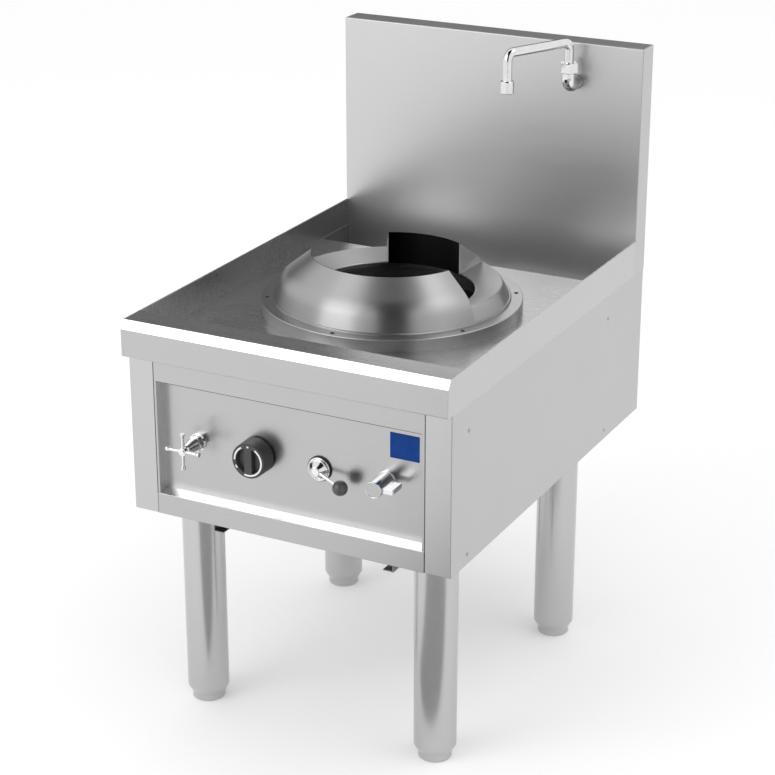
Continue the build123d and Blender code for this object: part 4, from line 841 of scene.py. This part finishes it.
lathe(lever, rod_root, rod_line, [(0, 0), (0.0034, 0), (0.0034, neck * 0.42), (0.0029, neck * 0.55),
                                  (0.0029, neck - 0.003), (0.0046, neck - 0.002), (0.0046, neck + 0.003),
                                  (0, neck + 0.003)], 32)
ball(lever, ball_centre, BALL_RADIUS, 1)
finish_piece("lever_with_ball", lever, [chrome, ball_black], "ball_lever", ("ball_lever",))

# %% [markdown]
# ## The lever tap's front
# The tap's round body ends in a flat disc inside a thin raised rim. Taps of this kind often have a
# separate cap there, which hides the handle screw. A turned ring and a shallow cap carry the
# highlight that the photograph shows round the edge.

# %% Tap cap
tap_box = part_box("tap_handle")
TAP_X, TAP_Z = 0.190, 0.580
tap_axis = (TAP_X, tap_box[0][1], TAP_Z)
tap_cap = bmesh.new()
lathe(tap_cap, tap_axis, (0, -1, 0), [
    (0, -0.0010), (0.0150, -0.0010), (0.0150, 0.0002), (0.0146, 0.0006), (0.0140, 0.0007), (0.0136, 0.0004),
    (0.0134, 0.0001)])
lathe(tap_cap, tap_axis, (0, -1, 0), [(0.0134, 0.0001), (0, 0.0001)], 56, 1)
finish_piece("tap_cap", tap_cap, [chrome, front_steel], "tap_handle")

# %% [markdown]
# ## Screws and bolts
# Three pieces are sets of the same fixing: the pan-head screws of the side panels, the blackened
# screws of the ring collar and the hexagon bolts under the body. Each set is one head, modelled
# once, and a list of places. A geometry node tree puts a copy at every place, faces it along the
# outward direction stored there, and turns it by a seeded random angle, since no two screws stop
# at the same turn.

# %% Heads
def pan_head(radius, height, slot_half, slot_reach, depth, shank, shank_length):
    """A low dome with a cross recess pressed into it, on a plain shank; the dome faces +Z."""
    bm = bmesh.new()
    rings, sides = 14, 48
    rows = [[bm.verts.new((0, 0, height - depth))]]
    for k in range(1, rings + 1):
        r = radius * k / rings
        dome = height * math.sqrt(max(0.0, 1 - 0.75 * (r / radius) ** 2))
        row = []
        for s in range(sides):
            turn = 2 * math.pi * s / sides
            x, y = r * math.cos(turn), r * math.sin(turn)
            near, far = sorted((abs(x), abs(y)))
            pressed = near < slot_half and far < slot_reach
            row.append(bm.verts.new((x, y, dome - (depth if pressed else 0))))
        rows.append(row)
    rows.append([bm.verts.new((v.co.x, v.co.y, 0)) for v in rows[-1]])
    for low, high in zip(rows, rows[1:]):
        for s in range(sides):
            n = (s + 1) % sides
            corners = list(dict.fromkeys([low[s % len(low)], low[n % len(low)], high[n], high[s]]))
            bm.faces.new(corners)
    bm.faces.new(rows[-1])
    lathe(bm, (0, 0, 0.0001), (0, 0, -1), [(0, 0), (shank, 0), (shank, shank_length - 0.0008),
                                          (shank * 0.7, shank_length), (0, shank_length)], 20)
    return bm


def hex_head(radius, height, shank, shank_length):
    """A hexagon head with a chamfered top, facing +Z."""
    bm = bmesh.new()
    lathe(bm, (0, 0, 0), (0, 0, 1), [(0, 0), (radius, 0), (radius, height * 0.82), (radius * 0.86, height),
                                     (0, height)], 6)
    lathe(bm, (0, 0, 0.0001), (0, 0, -1), [(0, 0), (shank, 0), (shank, shank_length), (0, shank_length)], 20)
    return bm


# %% Places of the fixings
def solids_of(name):
    """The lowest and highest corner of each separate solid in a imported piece."""
    bm = bmesh.new()
    bm.from_mesh(nodes[name].data)
    bmesh.ops.remove_doubles(bm, verts=bm.verts, dist=1e-6)
    left = set(bm.verts)
    found = []
    while left:
        todo = [left.pop()]
        island = list(todo)
        while todo:
            for edge in todo.pop().link_edges:
                for vert in edge.verts:
                    if vert in left:
                        left.remove(vert)
                        todo.append(vert)
                        island.append(vert)
        points = np.array([nodes[name].matrix_world @ v.co for v in island])
        found.append((points.min(axis=0), points.max(axis=0)))
    bm.free()
    return found


SIDE_HEAD, COLLAR_HEAD, BOLT_HEAD = 0.0010, 0.0012, 0.0050
side_places = []
for low, high in solids_of("side_panel_screws"):
    side = 1 if low[0] > 0 else -1
    outer = high[0] if side > 0 else low[0]
    middle = (low + high) / 2
    side_places.append(((outer - side * SIDE_HEAD, middle[1], middle[2]), (side, 0, 0)))
collar_places = [(((low[0] + high[0]) / 2, (low[1] + high[1]) / 2, high[2] - COLLAR_HEAD), (0, 0, 1))
                 for low, high in solids_of("collar_screws")]
bolt_places = [(((low[0] + high[0]) / 2, (low[1] + high[1]) / 2, low[2] + BOLT_HEAD), (0, 0, -1))
               for low, high in solids_of("leg_bolts")]
print("side screws", len(side_places), "collar screws", len(collar_places), "bolts", len(bolt_places))

# %% Geometry node tree
fixing_tree = bpy.data.node_groups.new("fixing_set", "GeometryNodeTree")
for label, kind in (("Geometry", "NodeSocketGeometry"), ("Head", "NodeSocketObject"),
                    ("Finish", "NodeSocketMaterial"), ("Turn", "NodeSocketFloat"), ("Seed", "NodeSocketInt")):
    fixing_tree.interface.new_socket(label, in_out="INPUT", socket_type=kind)
fixing_tree.interface.new_socket("Geometry", in_out="OUTPUT", socket_type="NodeSocketGeometry")
entry = fixing_tree.nodes.new("NodeGroupInput")
leave = fixing_tree.nodes.new("NodeGroupOutput")
head_info = fixing_tree.nodes.new("GeometryNodeObjectInfo")
outward = fixing_tree.nodes.new("GeometryNodeInputNamedAttribute")
outward.data_type = "FLOAT_VECTOR"
outward.inputs["Name"].default_value = "out"
face_out = fixing_tree.nodes.new("FunctionNodeAlignRotationToVector")
face_out.axis = "Z"
turn_top = fixing_tree.nodes.new("ShaderNodeCombineXYZ")
chance = fixing_tree.nodes.new("FunctionNodeRandomValue")
chance.data_type = "FLOAT_VECTOR"
chance.inputs[0].default_value = (0, 0, 0)
as_turn = fixing_tree.nodes.new("FunctionNodeEulerToRotation")
spin = fixing_tree.nodes.new("FunctionNodeRotateRotation")
spin.rotation_space = "LOCAL"
copies = fixing_tree.nodes.new("GeometryNodeInstanceOnPoints")
real = fixing_tree.nodes.new("GeometryNodeRealizeInstances")
paint = fixing_tree.nodes.new("GeometryNodeSetMaterial")
wire = fixing_tree.links.new
wire(entry.outputs["Head"], head_info.inputs["Object"])
wire(outward.outputs["Attribute"], face_out.inputs["Vector"])
wire(entry.outputs["Turn"], turn_top.inputs["Z"])
wire(turn_top.outputs[0], chance.inputs[1])
wire(entry.outputs["Seed"], chance.inputs["Seed"])
wire(chance.outputs[0], as_turn.inputs[0])
wire(face_out.outputs[0], spin.inputs[0])
wire(as_turn.outputs[0], spin.inputs[1])
wire(entry.outputs["Geometry"], copies.inputs["Points"])
wire(head_info.outputs["Geometry"], copies.inputs["Instance"])
wire(spin.outputs[0], copies.inputs["Rotation"])
wire(copies.outputs[0], real.inputs[0])
wire(real.outputs[0], paint.inputs["Geometry"])
wire(entry.outputs["Finish"], paint.inputs["Material"])
wire(paint.outputs[0], leave.inputs[0])
print("tree", fixing_tree.name, len(fixing_tree.nodes), "nodes")


# %% Set the fixings
def set_fixings(name, places, head, finish, turn, seed, body, replaced=()):
    """Copy one head to every place through the node tree, as one plain mesh on one body."""
    head_mesh = bpy.data.meshes.new(name + "_head")
    bmesh.ops.recalc_face_normals(head, faces=head.faces)
    head.to_mesh(head_mesh)
    head.free()
    head_obj = bpy.data.objects.new(name + "_head", head_mesh)
    points = bpy.data.meshes.new(name + "_places")
    points.from_pydata([place for place, _ in places], [], [])
    out = points.attributes.new("out", "FLOAT_VECTOR", "POINT")
    for k, (_, way) in enumerate(places):
        out.data[k].vector = way
    carrier = bpy.data.objects.new(name + "_places", points)
    for obj in (head_obj, carrier):
        bpy.context.scene.collection.objects.link(obj)
    modifier = carrier.modifiers.new("fixings", "NODES")
    modifier.node_group = fixing_tree
    socket = {s.name: s.identifier for s in fixing_tree.interface.items_tree if s.in_out == "INPUT"}
    modifier[socket["Head"]] = head_obj
    modifier[socket["Finish"]] = finish
    modifier[socket["Turn"]] = turn
    modifier[socket["Seed"]] = seed
    bpy.context.view_layer.update()
    made = bpy.data.meshes.new_from_object(carrier.evaluated_get(bpy.context.evaluated_depsgraph_get()))
    bm = bmesh.new()
    bm.from_mesh(made)
    for obj in (carrier, head_obj):
        bpy.data.objects.remove(obj)
    bpy.data.meshes.remove(made)
    return finish_piece(name, bm, [finish], body, replaced)


blackened_steel = moulded("blackened_screw_steel", (0.02, 0.02, 0.021), 0.35, 0.1, 0.0002)
FULL_TURN = 2 * math.pi
side_head = pan_head(radius=0.0040, height=0.00095, slot_half=0.0005, slot_reach=0.0021, depth=0.0006,
                     shank=0.0020, shank_length=0.006)
collar_head = pan_head(radius=0.0040, height=0.00115, slot_half=0.0006, slot_reach=0.0024, depth=0.0007,
                       shank=0.0025, shank_length=0.027)
bolt_head = hex_head(radius=0.0070, height=BOLT_HEAD, shank=0.0040, shank_length=0.014)
set_fixings("side_screw_heads", side_places, side_head, zinc_steel, FULL_TURN, 3,
            "base", ("side_panel_screws",))
set_fixings("collar_screw_heads", collar_places, collar_head, blackened_steel, FULL_TURN, 5,
            "base", ("collar_screws",))
set_fixings("leg_bolt_heads", bolt_places, bolt_head, zinc_steel, 1.0, 7,
            "base", ("leg_bolts",))

# %% [markdown]
# ## The view transform
# The render uses the Standard view transform.

# %% Set the view transform
bpy.context.scene.view_settings.view_transform = "Standard"
